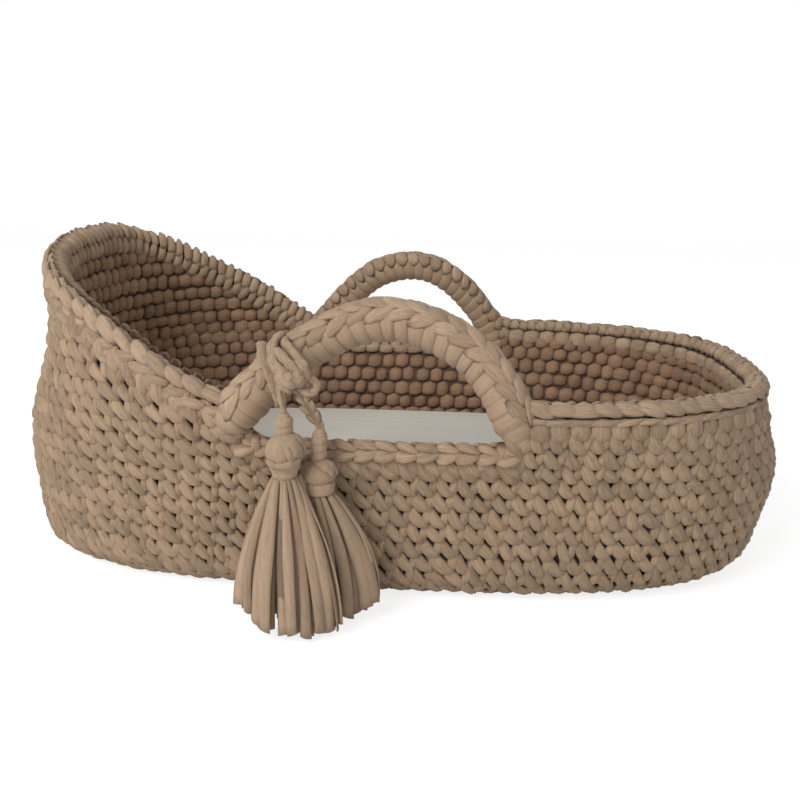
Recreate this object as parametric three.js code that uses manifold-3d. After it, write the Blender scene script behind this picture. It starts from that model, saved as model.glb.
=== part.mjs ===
import * as THREE from 'three';
import { mergeVertices } from 'three/addons/utils/BufferGeometryUtils.js';
import Module from 'manifold-3d';

// A crocheted carrying basket for a baby: a soft oval wall with a raised head end, two rope handles,
// a mattress in a zipped cover, and a pair of tassels tied to one handle.
// Millimetres. +X is the foot end, -X the head end, -Y the side with the tassels, +Z up.
// The origin is on the floor under the middle of the basket.

const wasm = await Module();
wasm.setup();

// Clearances
const seatGap = 0.3;
const windingSeat = 0.5;
const turningGap = 0.4;
const sideClearance = 1;
const cutOverrun = 5;

// Basket wall: half sizes over the outside of the crochet, and the heights at which they hold
const basketLength = 800;
const wallThickness = 20;
const bottomRadius = 34;
const wallHeight = 199;
const bulgeHeight = 110;
const headBaseInset = 8;
const waistHeight = 262;
const waistInset = 36;
const hoodRimInset = 31;
const footBaseInset = 24;
const footRimInset = 20;
const baseHalfWidth = 192;
const bulgeHalfWidth = 203;
const rimHalfWidth = 224;
const outlinePower = 3;

// Raised head end
const hoodHeight = 327;
const nearSlopePower = 1.25;
const farSlopePower = 0.95;

// Crocheted edging along every free edge
const edgingHeight = 12;
const edgingOverhang = 3;
const edgingCorner = 4;

// Base
const baseThickness = 20;
const boardThickness = 6;
const boardInset = 4;

// Hand slots, which the handle ends stand in
const slotHalfLength = 140;
const slotDepth = 43;

// Handles: a rope, a winding of flat yarn and a two-row braid along the top
const handleRise = 91;
const handleLeanDegrees = 14;
const shoulderOutShare = 0.983;
const shoulderUpShare = 0.55;
const crownOutShare = 0.417;
const ropeRadius = 11.5;
const ropeEndRadius = 18;
const ropeEndHalfLength = 19;
const yarnThickness = 4;
const windingLoops = 18;
const windingRun = 6;
const windingTurnRadius = 7;
const windingGap = 0.9;
const braidThickness = 4.6;
const braidHalfAngleDegrees = 62;

// Mattress: a foam core in a zipped cover
const mattressSideClearance = 10;
const mattressHeight = 64;
const mattressCrown = 10;
const mattressClearance = 6;
const mattressEdgeRadius = 9;
const mattressSideDraw = 3;
const mattressLongDraw = 4;
const coverThickness = 2;
const zipLength = 400;
const zipWidth = 8.4;
const tapeThickness = 1;
const sliderLength = 14;
const sliderWidth = 6.6;
const sliderThickness = 1.1;

// Tassel tie, on the near handle, with its knot's place from the handle's middle line there
const tieShare = 0.178;
const tieCordRadius = 3.5;
const tieEaseShares = [-0.7, 0.2];
const knotForward = 10;
const knotDrop = 4.7;
const knotStandOff = 35.6;
const knotRadius = 13;
const knotSeatShare = 0.9;

// Tassels. Each has a cord, a wound sleeve, a ball, a band round its neck and a skirt of cut strips.
// A cord's foot lies so far along, out and down from the knot's middle.
const cordRadius = 3;
const sleeveRadius = 7.5;
const sleeveSeat = 3;
const neckWall = 1.6;
const neckFlattening = 0.8;
const stripCount = 14;
const stripRelief = 0.16;
const skirtFloorGap = 5;
const tipStagger = 7;
const staggerTurn = 2.4;
const tassels = [
  {
    side: 'left', knotSideShares: [-0.32, -0.3, -0.9], footAlong: 1, footOut: 18.5, footDown: 47,
    sleeveLength: 6, ballRadius: 16.5, neckHeight: 13,
    leanX: -4, leanY: -10, tipHalfWidth: 43, tipHalfDepth: 18,
  },
  {
    side: 'right', knotSideShares: [0.42, -0.12, -0.9], footAlong: 29, footOut: 1, footDown: 66,
    sleeveLength: 12, ballRadius: 15, neckHeight: 9,
    leanX: 18, leanY: 8, tipHalfWidth: 36, tipHalfDepth: 16,
  },
];

// How finely the curved pieces are divided
const wallSteps = 60;
const outerCornerSteps = 4;
const innerCornerSteps = 3;
const hoodSteps = 30;
const footSteps = 30;
const slotSteps = 8;
const ropeSides = 8;
const ropeSteps = 30;
const windingStepsPerLoop = 10;
const windingTurnSteps = 3;
const windingSides = 6;
const braidArcSteps = 4;
const mattressSteps = 40;
const crownRingShares = [0.78, 0.5, 0.25];
const tieSteps = 22;
const tieSides = 6;
const knotSteps = 7;
const cordSides = 8;
const cordSteps = 6;
const ballSteps = 14;
const sleeveSides = 14;
const domeSteps = 3;
const skirtRings = 6;

// Materials
const wallYarn = yarn('wall yarn', 0xa98a6e);
const innerYarn = yarn('base yarn', 0x8d6f58);
const edgeYarn = yarn('edging yarn', 0xb0917a);
const windingYarn = yarn('winding yarn', 0xb3947a);
const tasselYarn = yarn('tassel yarn', 0xa58a72);
const rope = yarn('cotton rope', 0xd8cdbb);
const plywood = new THREE.MeshStandardMaterial({ name: 'plywood', color: 0xc9a877, roughness: 0.7 });
const foam = new THREE.MeshStandardMaterial({ name: 'foam', color: 0xf0e9d2, roughness: 1 });
const cotton = new THREE.MeshStandardMaterial({ name: 'white cotton', color: 0xe9ebe6, roughness: 0.9 });
const zipMetal = new THREE.MeshStandardMaterial({
  name: 'zip metal', color: 0xb8b8b8, roughness: 0.3, metalness: 1,
});

function yarn(name, colour) {
  return new THREE.MeshStandardMaterial({ name, color: colour, roughness: 0.9, metalness: 0 });
}

// Sizes worked out from the ones above
const halfLength = basketLength / 2;
const hoodTop = hoodHeight + seatGap + edgingHeight;
const lipHeight = wallHeight - slotDepth;
const lipTop = lipHeight + seatGap + edgingHeight;
const boardTop = baseThickness + seatGap + boardThickness;
const mattressBottom = boardTop + seatGap;
const hingeHeight = lipTop + turningGap + ropeEndRadius;
const handleHalfSpan = slotHalfLength - sideClearance - ropeEndHalfLength;
const handleLean = THREE.MathUtils.degToRad(handleLeanDegrees);
const windingFacetShare = 1 / Math.cos(Math.PI / windingStepsPerLoop);
const braidHalfAngle = THREE.MathUtils.degToRad(braidHalfAngleDegrees);
const braidFacetShare = 1 / Math.cos(braidHalfAngle / braidArcSteps);
const windingRadius = (ropeRadius + windingSeat) * windingFacetShare + yarnThickness / 2;
const woundRadius = windingRadius + yarnThickness / 2;
const braidInnerRadius = (woundRadius + windingSeat) * braidFacetShare;
const braidOuterRadius = braidInnerRadius + braidThickness;
const windingStart = ropeEndRadius + turningGap;
const mattressHalfWidth = baseHalfWidth - wallThickness - mattressSideClearance;
const coverBottomThickness = tapeThickness + sliderThickness + 3 * seatGap;
const up = new THREE.Vector3(0, 0, 1);
const origin = new THREE.Vector3();

// Half sizes of the wall's outside at a height
const footProfile = smoothThrough([
  [0, halfLength - footBaseInset],
  [bulgeHeight, halfLength],
  [wallHeight, halfLength - footRimInset],
  [hoodTop, halfLength - footRimInset],
]);
const headProfile = smoothThrough([
  [0, halfLength - headBaseInset],
  [bulgeHeight, halfLength],
  [waistHeight, halfLength - waistInset],
  [hoodTop, halfLength - hoodRimInset],
]);
const sideProfile = smoothThrough([
  [0, baseHalfWidth],
  [bulgeHeight, bulgeHalfWidth],
  [wallHeight, rimHalfWidth],
  [hoodTop, rimHalfWidth],
]);

// A smooth curve through [height, value] pairs that never swings past a pair
function smoothThrough(pairs) {
  const rises = pairs.slice(1).map((pair, i) => (pair[1] - pairs[i][1]) / (pair[0] - pairs[i][0]));
  const slopes = pairs.map((pair, i) => {
    const before = rises[i - 1] ?? rises[i];
    const after = rises[i] ?? rises[i - 1];
    return before * after > 0 ? (2 * before * after) / (before + after) : 0;
  });
  return (height) => {
    let i = 0;
    while (i < pairs.length - 2 && height > pairs[i + 1][0]) i += 1;
    const span = pairs[i + 1][0] - pairs[i][0];
    const t = THREE.MathUtils.clamp((height - pairs[i][0]) / span, 0, 1);
    const rest = 1 - t;
    const start = pairs[i][1] * (1 + 2 * t) * rest * rest + slopes[i] * span * t * rest * rest;
    const end = pairs[i + 1][1] * (3 - 2 * t) * t * t - slopes[i + 1] * span * t * t * rest;
    return start + end;
  };
}

// A point of a squarish oval
function ovalPoint(foot, head, side, angle, height) {
  const along = Math.cos(angle);
  const across = Math.sin(angle);
  const x = (along < 0 ? -head : foot) * Math.abs(along) ** (2 / outlinePower);
  const y = side * Math.sign(across) * Math.abs(across) ** (2 / outlinePower);
  return new THREE.Vector3(x, y, height);
}

// A point of the wall: how far in from the outside, how high, and at which angle round the oval
function wallPoint(inset, height, angle) {
  const foot = footProfile(height) - inset;
  const head = headProfile(height) - inset;
  const side = sideProfile(height) - inset;
  return ovalPoint(foot, head, side, angle, height);
}

// The angle round the oval at which the wall's outside reaches x at a height, on the -Y side
function angleAtX(x, height) {
  const reach = x < 0 ? headProfile(height) : footProfile(height);
  const along = Math.sign(x) * (Math.abs(x) / reach) ** (outlinePower / 2);
  return -Math.acos(along);
}

// Top of the wall at the head end, which climbs from the handles to the hood
function hoodHeightAt(angle) {
  const reach = headProfile(waistHeight);
  const point = ovalPoint(reach, reach, rimHalfWidth, angle, 0);
  const climb = (-slotHalfLength - point.x) / (reach - slotHalfLength);
  const power = point.y < 0 ? nearSlopePower : farSlopePower;
  const share = THREE.MathUtils.clamp(climb, 0, 1) ** power;
  return wallHeight + (hoodHeight - wallHeight) * share;
}

// Geometry helpers

function geometryFrom(positions, indices) {
  const geometry = new THREE.BufferGeometry();
  geometry.setAttribute('position', new THREE.Float32BufferAttribute(positions, 3));
  geometry.setIndex(indices);
  if (signedVolume(geometry) < 0) indices.reverse();
  geometry.setIndex(indices);
  geometry.computeVertexNormals();
  return geometry;
}

function signedVolume(geometry) {
  const position = geometry.attributes.position;
  const index = geometry.index.array;
  const a = new THREE.Vector3();
  const b = new THREE.Vector3();
  const c = new THREE.Vector3();
  let volume = 0;
  for (let i = 0; i < index.length; i += 3) {
    a.fromBufferAttribute(position, index[i]);
    b.fromBufferAttribute(position, index[i + 1]);
    c.fromBufferAttribute(position, index[i + 2]);
    volume += a.dot(b.cross(c)) / 6;
  }
  return volume;
}

// Joins matching sections into one closed skin: round in a ring, or capped at both ends
function loft(sections, isRing = false) {
  const count = sections[0].length;
  const positions = sections.flat().flatMap((point) => point.toArray());
  const indices = [];
  const spans = isRing ? sections.length : sections.length - 1;
  for (let i = 0; i < spans; i += 1) {
    const next = (i + 1) % sections.length;
    for (let j = 0; j < count; j += 1) {
      const beside = (j + 1) % count;
      const a = i * count + j;
      const b = i * count + beside;
      const c = next * count + beside;
      const d = next * count + j;
      indices.push(a, d, c, a, c, b);
    }
  }
  if (!isRing) {
    const last = (sections.length - 1) * count;
    capFaces(sections[0]).forEach(([a, b, c]) => indices.push(a, b, c));
    capFaces(sections.at(-1)).forEach(([a, b, c]) => indices.push(last + c, last + b, last + a));
  }
  return geometryFrom(positions, indices);
}

// Triangles that fill a flat section, turning the same way as its points do
function capFaces(section) {
  const normal = new THREE.Vector3();
  section.forEach((point, i) => {
    const next = section[(i + 1) % section.length];
    normal.add(point.clone().sub(section[0]).cross(next.clone().sub(section[0])));
  });
  normal.normalize();
  const first = section[1].clone().sub(section[0]).normalize();
  const second = normal.clone().cross(first);
  const flat = section.map((point) => new THREE.Vector2(point.dot(first), point.dot(second)));
  return THREE.ShapeUtils.triangulateShape(flat, []).map((face) => {
    const [a, b, c] = face.map((i) => flat[i]);
    const turn = (b.x - a.x) * (c.y - a.y) - (b.y - a.y) * (c.x - a.x);
    return turn > 0 ? face : [face[0], face[2], face[1]];
  });
}

// Stacks rings into a closed skin with a middle point at each end
function stack(rings, firstMiddle, lastMiddle) {
  const count = rings[0].length;
  const positions = rings.flat().flatMap((point) => point.toArray());
  const firstIndex = positions.length / 3;
  positions.push(...firstMiddle.toArray(), ...lastMiddle.toArray());
  const indices = [];
  for (let i = 0; i < rings.length - 1; i += 1) {
    for (let j = 0; j < count; j += 1) {
      const beside = (j + 1) % count;
      const a = i * count + j;
      const b = i * count + beside;
      indices.push(a, a + count, b + count, a, b + count, b);
    }
  }
  const last = (rings.length - 1) * count;
  for (let j = 0; j < count; j += 1) {
    const beside = (j + 1) % count;
    indices.push(firstIndex, j, beside);
    indices.push(firstIndex + 1, last + beside, last + j);
  }
  return geometryFrom(positions, indices);
}

function toSolid(geometry) {
  const bare = geometry.clone();
  bare.deleteAttribute('normal');
  bare.deleteAttribute('uv');
  const merged = mergeVertices(bare);
  return new wasm.Manifold(new wasm.Mesh({
    numProp: 3,
    vertProperties: new Float32Array(merged.attributes.position.array),
    triVerts: new Uint32Array(merged.index.array),
  }));
}

function toGeometry(solid) {
  const mesh = solid.getMesh();
  return geometryFrom(Array.from(mesh.vertProperties), Array.from(mesh.triVerts));
}

function joined(...geometries) {
  return toGeometry(geometries.map(toSolid).reduce((whole, piece) => whole.add(piece)));
}

function cutFrom(geometry, ...cutters) {
  const solid = cutters.map(toSolid).reduce((rest, cutter) => rest.subtract(cutter), toSolid(geometry));
  return toGeometry(solid);
}

function angles(from, to, steps) {
  return Array.from({ length: steps + 1 }, (_, i) => from + ((to - from) * i) / steps);
}

function ringAngles(steps) {
  return Array.from({ length: steps }, (_, i) => (2 * Math.PI * i) / steps);
}

function box(fromX, toX, fromY, toY, fromZ, toZ) {
  const geometry = new THREE.BoxGeometry(toX - fromX, toY - fromY, toZ - fromZ);
  return geometry.translate((fromX + toX) / 2, (fromY + toY) / 2, (fromZ + toZ) / 2);
}

const root = new THREE.Group();

function addPiece(name, geometry, material, parent = root) {
  const mesh = new THREE.Mesh(geometry, material);
  mesh.name = name;
  parent.add(mesh);
}

// Base: a crocheted oval mat with a stiffening board on it

function ovalPlate(inset, fromZ, toZ) {
  const section = (angle) => wallPoint(inset, 0, angle);
  const rings = [fromZ, toZ].map((z) => ringAngles(wallSteps).map((angle) => section(angle).setZ(z)));
  return stack(rings, origin.clone().setZ(fromZ), origin.clone().setZ(toZ));
}

function buildBase() {
  const matInset = bottomRadius + seatGap;
  const boardFrom = baseThickness + seatGap;
  addPiece('base_mat', ovalPlate(matInset, 0, baseThickness), innerYarn);
  addPiece('base_board', ovalPlate(bottomRadius + boardInset, boardFrom, boardTop), plywood);
}

// Wall: one ring that turns in under the base, with a slot on each side

function wallSection(angle) {
  const innerRadius = bottomRadius - wallThickness;
  const heights = [(bottomRadius + bulgeHeight) / 2, bulgeHeight, (bulgeHeight + wallHeight) / 2];
  const outerCorner = angles(0, Math.PI / 2, outerCornerSteps).map((turn) => wallPoint(
    bottomRadius * (1 - Math.sin(turn)), bottomRadius * (1 - Math.cos(turn)), angle,
  ));
  const innerCorner = angles(Math.PI / 2, 0, innerCornerSteps).map((turn) => wallPoint(
    bottomRadius - innerRadius * Math.sin(turn), bottomRadius - innerRadius * Math.cos(turn), angle,
  ));
  const outside = [...heights, wallHeight].map((height) => wallPoint(0, height, angle));
  const inside = [wallHeight, ...heights.toReversed()].map(
    (height) => wallPoint(wallThickness, height, angle),
  );
  return [...outerCorner, ...outside, ...inside, ...innerCorner];
}

function buildWall() {
  const wall = loft(ringAngles(wallSteps).map(wallSection), true);
  const reach = rimHalfWidth + cutOverrun;
  const top = wallHeight + cutOverrun;
  const nearSlot = box(-slotHalfLength, slotHalfLength, -reach, 0, lipHeight, top);
  const farSlot = box(-slotHalfLength, slotHalfLength, 0, reach, lipHeight, top);
  addPiece('side_wall', cutFrom(wall, nearSlot, farSlot), wallYarn);
}

// Head end: rows added on the wall, climbing to the hood

const hoodStart = angleAtX(-slotHalfLength + wallThickness, wallHeight);
const hoodAngles = angles(hoodStart, -hoodStart - 2 * Math.PI, hoodSteps);
const hoodLevelShares = [0, 0.35, 0.7, 1];

function hoodSection(angle) {
  const from = wallHeight + seatGap;
  const to = hoodHeightAt(angle);
  const heights = hoodLevelShares.map((share) => from + (to - from) * share);
  const outside = heights.map((height) => wallPoint(0, height, angle));
  const inside = heights.toReversed().map((height) => wallPoint(wallThickness, height, angle));
  return [...outside, ...inside];
}

function buildHeadEnd() {
  const raised = hoodAngles.filter((angle) => hoodHeightAt(angle) > wallHeight + edgingCorner);
  addPiece('head_wall', loft(raised.map(hoodSection)), wallYarn);
}

// Edging: a braid that stands on each free edge, a little wider than the wall

function edgingSection(angle, baseHeight) {
  const outer = -edgingOverhang;
  const inner = wallThickness + edgingOverhang;
  const top = baseHeight + edgingHeight;
  const corners = [
    [inner - edgingCorner, baseHeight],
    [inner, baseHeight + edgingCorner],
    [inner, top - edgingCorner],
    [inner - edgingCorner, top],
    [outer + edgingCorner, top],
    [outer, top - edgingCorner],
    [outer, baseHeight + edgingCorner],
    [outer + edgingCorner, baseHeight],
  ];
  const settled = wallPoint(0, baseHeight, angle);
  const inward = wallPoint(wallThickness, baseHeight, angle).sub(settled).divideScalar(wallThickness);
  return corners.map(([inset, height]) => settled.clone().addScaledVector(inward, inset).setZ(height));
}

function buildEdging() {
  const footStart = angleAtX(slotHalfLength - wallThickness, wallHeight);
  const headSections = hoodAngles.map((angle) => edgingSection(angle, hoodEdgeHeight(angle)));
  const footSections = angles(footStart, -footStart, footSteps).map(
    (angle) => edgingSection(angle, wallHeight + seatGap),
  );
  const lipStart = angleAtX(-slotHalfLength - wallThickness, lipHeight);
  const lipEnd = angleAtX(slotHalfLength + wallThickness, lipHeight);
  const nearSections = angles(lipStart, lipEnd, slotSteps).map(
    (angle) => edgingSection(angle, lipHeight + seatGap),
  );
  const end = slotHalfLength + sideClearance;
  const far = halfLength + cutOverrun;
  const lipEndX = slotHalfLength - sideClearance;
  const nearLip = clippedAlong(loft(nearSections), -lipEndX, lipEndX);
  addPiece('rim_braid_head', clippedAlong(loft(headSections), -far, -end), edgeYarn);
  addPiece('rim_braid_foot', clippedAlong(loft(footSections), end, far), edgeYarn);
  addPiece('slot_braid_near', nearLip, edgeYarn);
  addPiece('slot_braid_far', mirrored(nearLip), edgeYarn);
}

// What lies between two places along the basket
function clippedAlong(geometry, fromX, toX) {
  const reach = rimHalfWidth + cutOverrun;
  const kept = box(fromX, toX, -reach, reach, -cutOverrun, hoodTop + cutOverrun);
  return toGeometry(toSolid(geometry).intersect(toSolid(kept)));
}

function hoodEdgeHeight(angle) {
  return hoodHeightAt(angle) + seatGap;
}

function mirrored(geometry) {
  const flipped = geometry.clone().scale(1, -1, 1);
  return geometryFrom(Array.from(flipped.attributes.position.array), Array.from(flipped.index.array));
}

// Handles. Each is built upright in its own plane, with its hinge line along X through the group's origin

function archCurve() {
  const foot = new THREE.Vector3(-handleHalfSpan, 0, 0);
  const shoulder = new THREE.Vector3(-handleHalfSpan * shoulderOutShare, 0, handleRise * shoulderUpShare);
  const haunch = new THREE.Vector3(-handleHalfSpan * crownOutShare, 0, handleRise);
  const crown = new THREE.Vector3(0, 0, handleRise);
  const acrossMiddle = (point) => new THREE.Vector3(-point.x, 0, point.z);
  const curve = new THREE.CurvePath();
  curve.add(new THREE.CubicBezierCurve3(foot, shoulder, haunch, crown));
  curve.add(new THREE.CubicBezierCurve3(
    crown, acrossMiddle(haunch), acrossMiddle(shoulder), acrossMiddle(foot),
  ));
  return curve;
}

const arch = archCurve();
const archLength = arch.getLength();

// Place, direction, outward side and cross direction at a distance along the arch
function archFrame(distance) {
  const share = THREE.MathUtils.clamp(distance / archLength, 0, 1);
  const along = arch.getTangentAt(share);
  const across = new THREE.Vector3(0, 1, 0);
  const outward = along.clone().cross(across);
  return { place: arch.getPointAt(share), along, across, outward };
}

function roundArchPoint(distance, angle, radius) {
  const { place, across, outward } = archFrame(distance);
  return place.clone()
    .addScaledVector(outward, radius * Math.cos(angle))
    .addScaledVector(across, radius * Math.sin(angle));
}

function buildRope(name, parent) {
  const sections = angles(0, archLength, ropeSteps).map(
    (distance) => ringAngles(ropeSides).map((angle) => roundArchPoint(distance, angle, ropeRadius)),
  );
  const ends = [-handleHalfSpan, handleHalfSpan].map((x) => {
    const length = 2 * ropeEndHalfLength;
    const end = new THREE.CylinderGeometry(ropeEndRadius, ropeEndRadius, length, 2 * ropeSides);
    return end.rotateZ(Math.PI / 2).translate(x, 0, 0);
  });
  addPiece(name, joined(loft(sections), ...ends), rope, parent);
}

// The winding's middle line, unrolled: how far along the handle, and the angle round it.
// It leaves one rope end straight, turns into the winding and does the reverse at the other end.
function windingLine() {
  const span = archLength - 2 * windingStart;
  const pitch = (span - 2 * (windingRun + windingTurnRadius)) / windingLoops;
  const slope = Math.atan2(pitch, 2 * Math.PI * windingRadius);
  const turns = angles(0, Math.PI / 2 - slope, windingTurnSteps);
  const entry = [[0, 0], ...turns.map((turn) => [
    windingRun + windingTurnRadius * Math.sin(turn),
    (windingTurnRadius * (1 - Math.cos(turn))) / windingRadius,
  ])];
  const [entryRise, entryAngle] = entry.at(-1);
  const steps = windingLoops * windingStepsPerLoop;
  const rise = (span - 2 * entryRise) / steps;
  const turn = (2 * Math.PI) / windingStepsPerLoop;
  const loops = Array.from({ length: steps - 1 }, (_, i) => [
    entryRise + rise * (i + 1), entryAngle + turn * (i + 1),
  ]);
  const wholeAngle = 2 * entryAngle + turn * steps;
  const exit = entry.toReversed().map(([distance, angle]) => [span - distance, wholeAngle - angle]);
  return [...entry, ...loops, ...exit].map(([distance, angle]) => [windingStart + distance, angle]);
}

const windingPitch = (archLength - 2 * (windingStart + windingRun + windingTurnRadius)) / windingLoops;

// Half the width of the flat yarn, so that each turn stays clear of the next on the inside of the bend too
function windingHalfWidth(distance, angle) {
  const ahead = roundArchPoint(distance + windingPitch / 2, angle, windingRadius);
  const behind = roundArchPoint(distance - windingPitch / 2, angle, windingRadius);
  return (ahead.distanceTo(behind) - windingGap) / 2;
}

function windingSections() {
  const line = windingLine();
  const places = line.map(([distance, angle]) => roundArchPoint(distance, angle, windingRadius));
  return line.map(([distance, angle], i) => {
    const { across, outward } = archFrame(distance);
    const out = outward.clone().multiplyScalar(Math.cos(angle)).addScaledVector(across, Math.sin(angle));
    const forward = places[Math.min(i + 1, places.length - 1)].clone().sub(places[Math.max(i - 1, 0)]);
    const wide = forward.cross(out).normalize();
    const high = yarnThickness / 2;
    const half = windingHalfWidth(distance, angle);
    return ringAngles(windingSides).map((turn) => places[i].clone()
      .addScaledVector(wide, half * Math.cos(turn))
      .addScaledVector(out, high * Math.sin(turn)));
  });
}

// The least distance between points of the winding that lie half a loop or more apart along it
function leastWindingGap(sections) {
  const apart = windingStepsPerLoop / 2;
  let least = Infinity;
  sections.forEach((section, i) => {
    sections.slice(i + apart, i + 3 * apart).forEach((other) => {
      section.forEach((a) => other.forEach((b) => {
        least = Math.min(least, a.distanceTo(b));
      }));
    });
  });
  return least;
}

function buildWinding(name, parent) {
  const sections = windingSections();
  console.log(`${name}: least gap to itself ${leastWindingGap(sections).toFixed(2)} mm`);
  addPiece(name, loft(sections), windingYarn, parent);
}

// The braid lies on the winding's outward side like a saddle
function buildHandleBraid(name, parent) {
  const start = windingStart + turningGap;
  const across = angles(-braidHalfAngle, braidHalfAngle, braidArcSteps);
  const sections = angles(start, archLength - start, ropeSteps).map((distance) => {
    const outer = across.map((angle) => roundArchPoint(distance, angle, braidOuterRadius));
    const inner = across.toReversed().map((angle) => roundArchPoint(distance, angle, braidInnerRadius));
    return [...outer, ...inner];
  });
  addPiece(name, loft(sections), edgeYarn, parent);
}

function handleGroup(side) {
  const group = new THREE.Group();
  const middleOfWall = sideProfile(hingeHeight) - wallThickness / 2;
  group.position.set(0, side * middleOfWall, hingeHeight);
  group.rotation.x = side * handleLean;
  group.updateMatrixWorld(true);
  root.add(group);
  return group;
}

function buildHandle(name, side) {
  const group = handleGroup(side);
  buildRope(`handle_core_${name}`, group);
  buildWinding(`handle_wrap_${name}`, group);
  buildHandleBraid(`handle_braid_${name}`, group);
  return group;
}

// Mattress

const mattressReach = {
  foot: halfLength - footRimInset - wallThickness - edgingOverhang - mattressClearance,
  head: halfLength - waistInset - wallThickness - edgingOverhang - mattressClearance,
};

// A ring of the mattress, drawn in along its long sides as sewn pads are
function mattressRing(inset, height, share = 1) {
  return ringAngles(mattressSteps).map((angle) => {
    const foot = mattressReach.foot - inset;
    const head = mattressReach.head - inset;
    const side = mattressHalfWidth - inset;
    const point = ovalPoint(foot * share, head * share, side * share, angle, height);
    const middle = 1 - (point.x / mattressReach.foot) ** 2;
    point.y *= 1 - (mattressLongDraw / mattressHalfWidth) * middle;
    return point;
  });
}

// The pad's skin, or a smaller one inside it: flat below, sides drawn in at mid height, crowned above
function padSkin(inset, bottom, top) {
  const middle = (bottom + top) / 2;
  const corner = mattressEdgeRadius * (1 - Math.SQRT1_2);
  const rings = [
    mattressRing(inset + mattressEdgeRadius, bottom),
    mattressRing(inset + corner, bottom + corner),
    mattressRing(inset, bottom + mattressEdgeRadius),
    mattressRing(inset + mattressSideDraw, middle),
    mattressRing(inset, top - mattressEdgeRadius),
    mattressRing(inset + corner, top - corner),
    mattressRing(inset + mattressEdgeRadius, top),
  ];
  crownRingShares.forEach((share) => {
    const height = top + mattressCrown * (1 - share ** 2);
    rings.push(mattressRing(inset + mattressEdgeRadius, height, share));
  });
  const bottomMiddle = origin.clone().setZ(bottom);
  const topMiddle = origin.clone().setZ(top + mattressCrown);
  return stack(rings, bottomMiddle, topMiddle);
}

function buildMattress() {
  const top = mattressBottom + mattressHeight;
  const hollowBottom = mattressBottom + coverBottomThickness;
  const hollowTop = top - coverThickness;
  const zipHalf = zipLength / 2;
  const zipSide = zipWidth / 2;
  const slot = box(
    -zipHalf - seatGap, zipHalf + seatGap, -zipSide - seatGap, zipSide + seatGap,
    mattressBottom - cutOverrun, hollowBottom + seatGap,
  );
  const outer = padSkin(0, mattressBottom, top);
  const hollow = padSkin(coverThickness, hollowBottom, hollowTop);
  const coreInset = coverThickness + turningGap;
  const tapeTop = hollowBottom - seatGap;
  const tapeBottom = tapeTop - tapeThickness;
  const sliderTop = tapeBottom - seatGap;
  const sliderEnd = zipHalf - sideClearance;
  addPiece('mattress_cover', cutFrom(outer, hollow, slot), cotton);
  addPiece('mattress_core', padSkin(coreInset, hollowBottom + seatGap, hollowTop - turningGap), foam);
  addPiece('cover_zip', box(-zipHalf, zipHalf, -zipSide, zipSide, tapeBottom, tapeTop), cotton);
  addPiece('zip_slider', box(
    sliderEnd - sliderLength, sliderEnd, -sliderWidth / 2, sliderWidth / 2,
    sliderTop - sliderThickness, sliderTop,
  ), zipMetal);
}

// Tassel tie: a cord round the near handle and its knot, from which both tassels hang

// How far the cord's middle line stands off the handle's middle, over the braid and under the winding
function tieRadiusAt(angle) {
  const overBraid = braidOuterRadius + turningGap + tieCordRadius;
  const underWinding = woundRadius + turningGap + tieCordRadius;
  const share = THREE.MathUtils.smoothstep(Math.cos(angle), ...tieEaseShares);
  return underWinding + (overBraid - underWinding) * share;
}

function tieLoop(group) {
  const distance = tieShare * archLength;
  const { along } = archFrame(distance);
  const middle = archFrame(distance).place;
  const sections = ringAngles(tieSteps).map((angle) => {
    const place = roundArchPoint(distance, angle, tieRadiusAt(angle));
    const out = place.clone().sub(middle).normalize();
    return ringAngles(tieSides).map((turn) => place.clone()
      .addScaledVector(out, tieCordRadius * Math.cos(turn))
      .addScaledVector(along, tieCordRadius * Math.sin(turn))
      .applyMatrix4(group.matrixWorld));
  });
  return loft(sections, true);
}

// The knot is a main lump with smaller ones round it, as [x, y, z, radius] in shares of the main radius
const lumpShares = [
  [0, 0, 0, 1],
  [-0.8, 0.35, -0.1, 0.7],
  [0.75, 0.2, 0.05, 0.65],
  [-0.2, 0.3, 0.9, 0.55],
];

// The middle of the knot, on the outer side of the handle
function knotCentre(group) {
  const { place, along, outward } = archFrame(tieShare * archLength);
  place.addScaledVector(along, knotForward).addScaledVector(outward, -knotDrop);
  return group.localToWorld(place.setY(-knotStandOff));
}

function buildTie(group, knot) {
  const lumps = lumpShares.map(([x, y, z, radius]) => {
    const place = new THREE.Vector3(x, y, z).multiplyScalar(knotRadius).add(knot);
    const lump = new THREE.SphereGeometry(knotRadius * radius, knotSteps + 1, knotSteps);
    return lump.rotateX(Math.PI / 2).translate(place.x, place.y, place.z);
  });
  const sockets = tassels.map((tassel) => {
    const { x, y, z } = cordTop(tassel, knot);
    return new THREE.SphereGeometry(cordRadius + turningGap, cordSides, cordSides).translate(x, y, z);
  });
  addPiece('tassel_tie', cutFrom(joined(tieLoop(group), ...lumps), ...sockets), tasselYarn);
}

// Where a tassel's cord swings from, in a shallow socket of the knot
function cordTop(tassel, knot) {
  const knotSide = new THREE.Vector3(...tassel.knotSideShares).normalize();
  return knot.clone().addScaledVector(knotSide, knotRadius * knotSeatShare + cordRadius);
}

// Tassels

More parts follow.
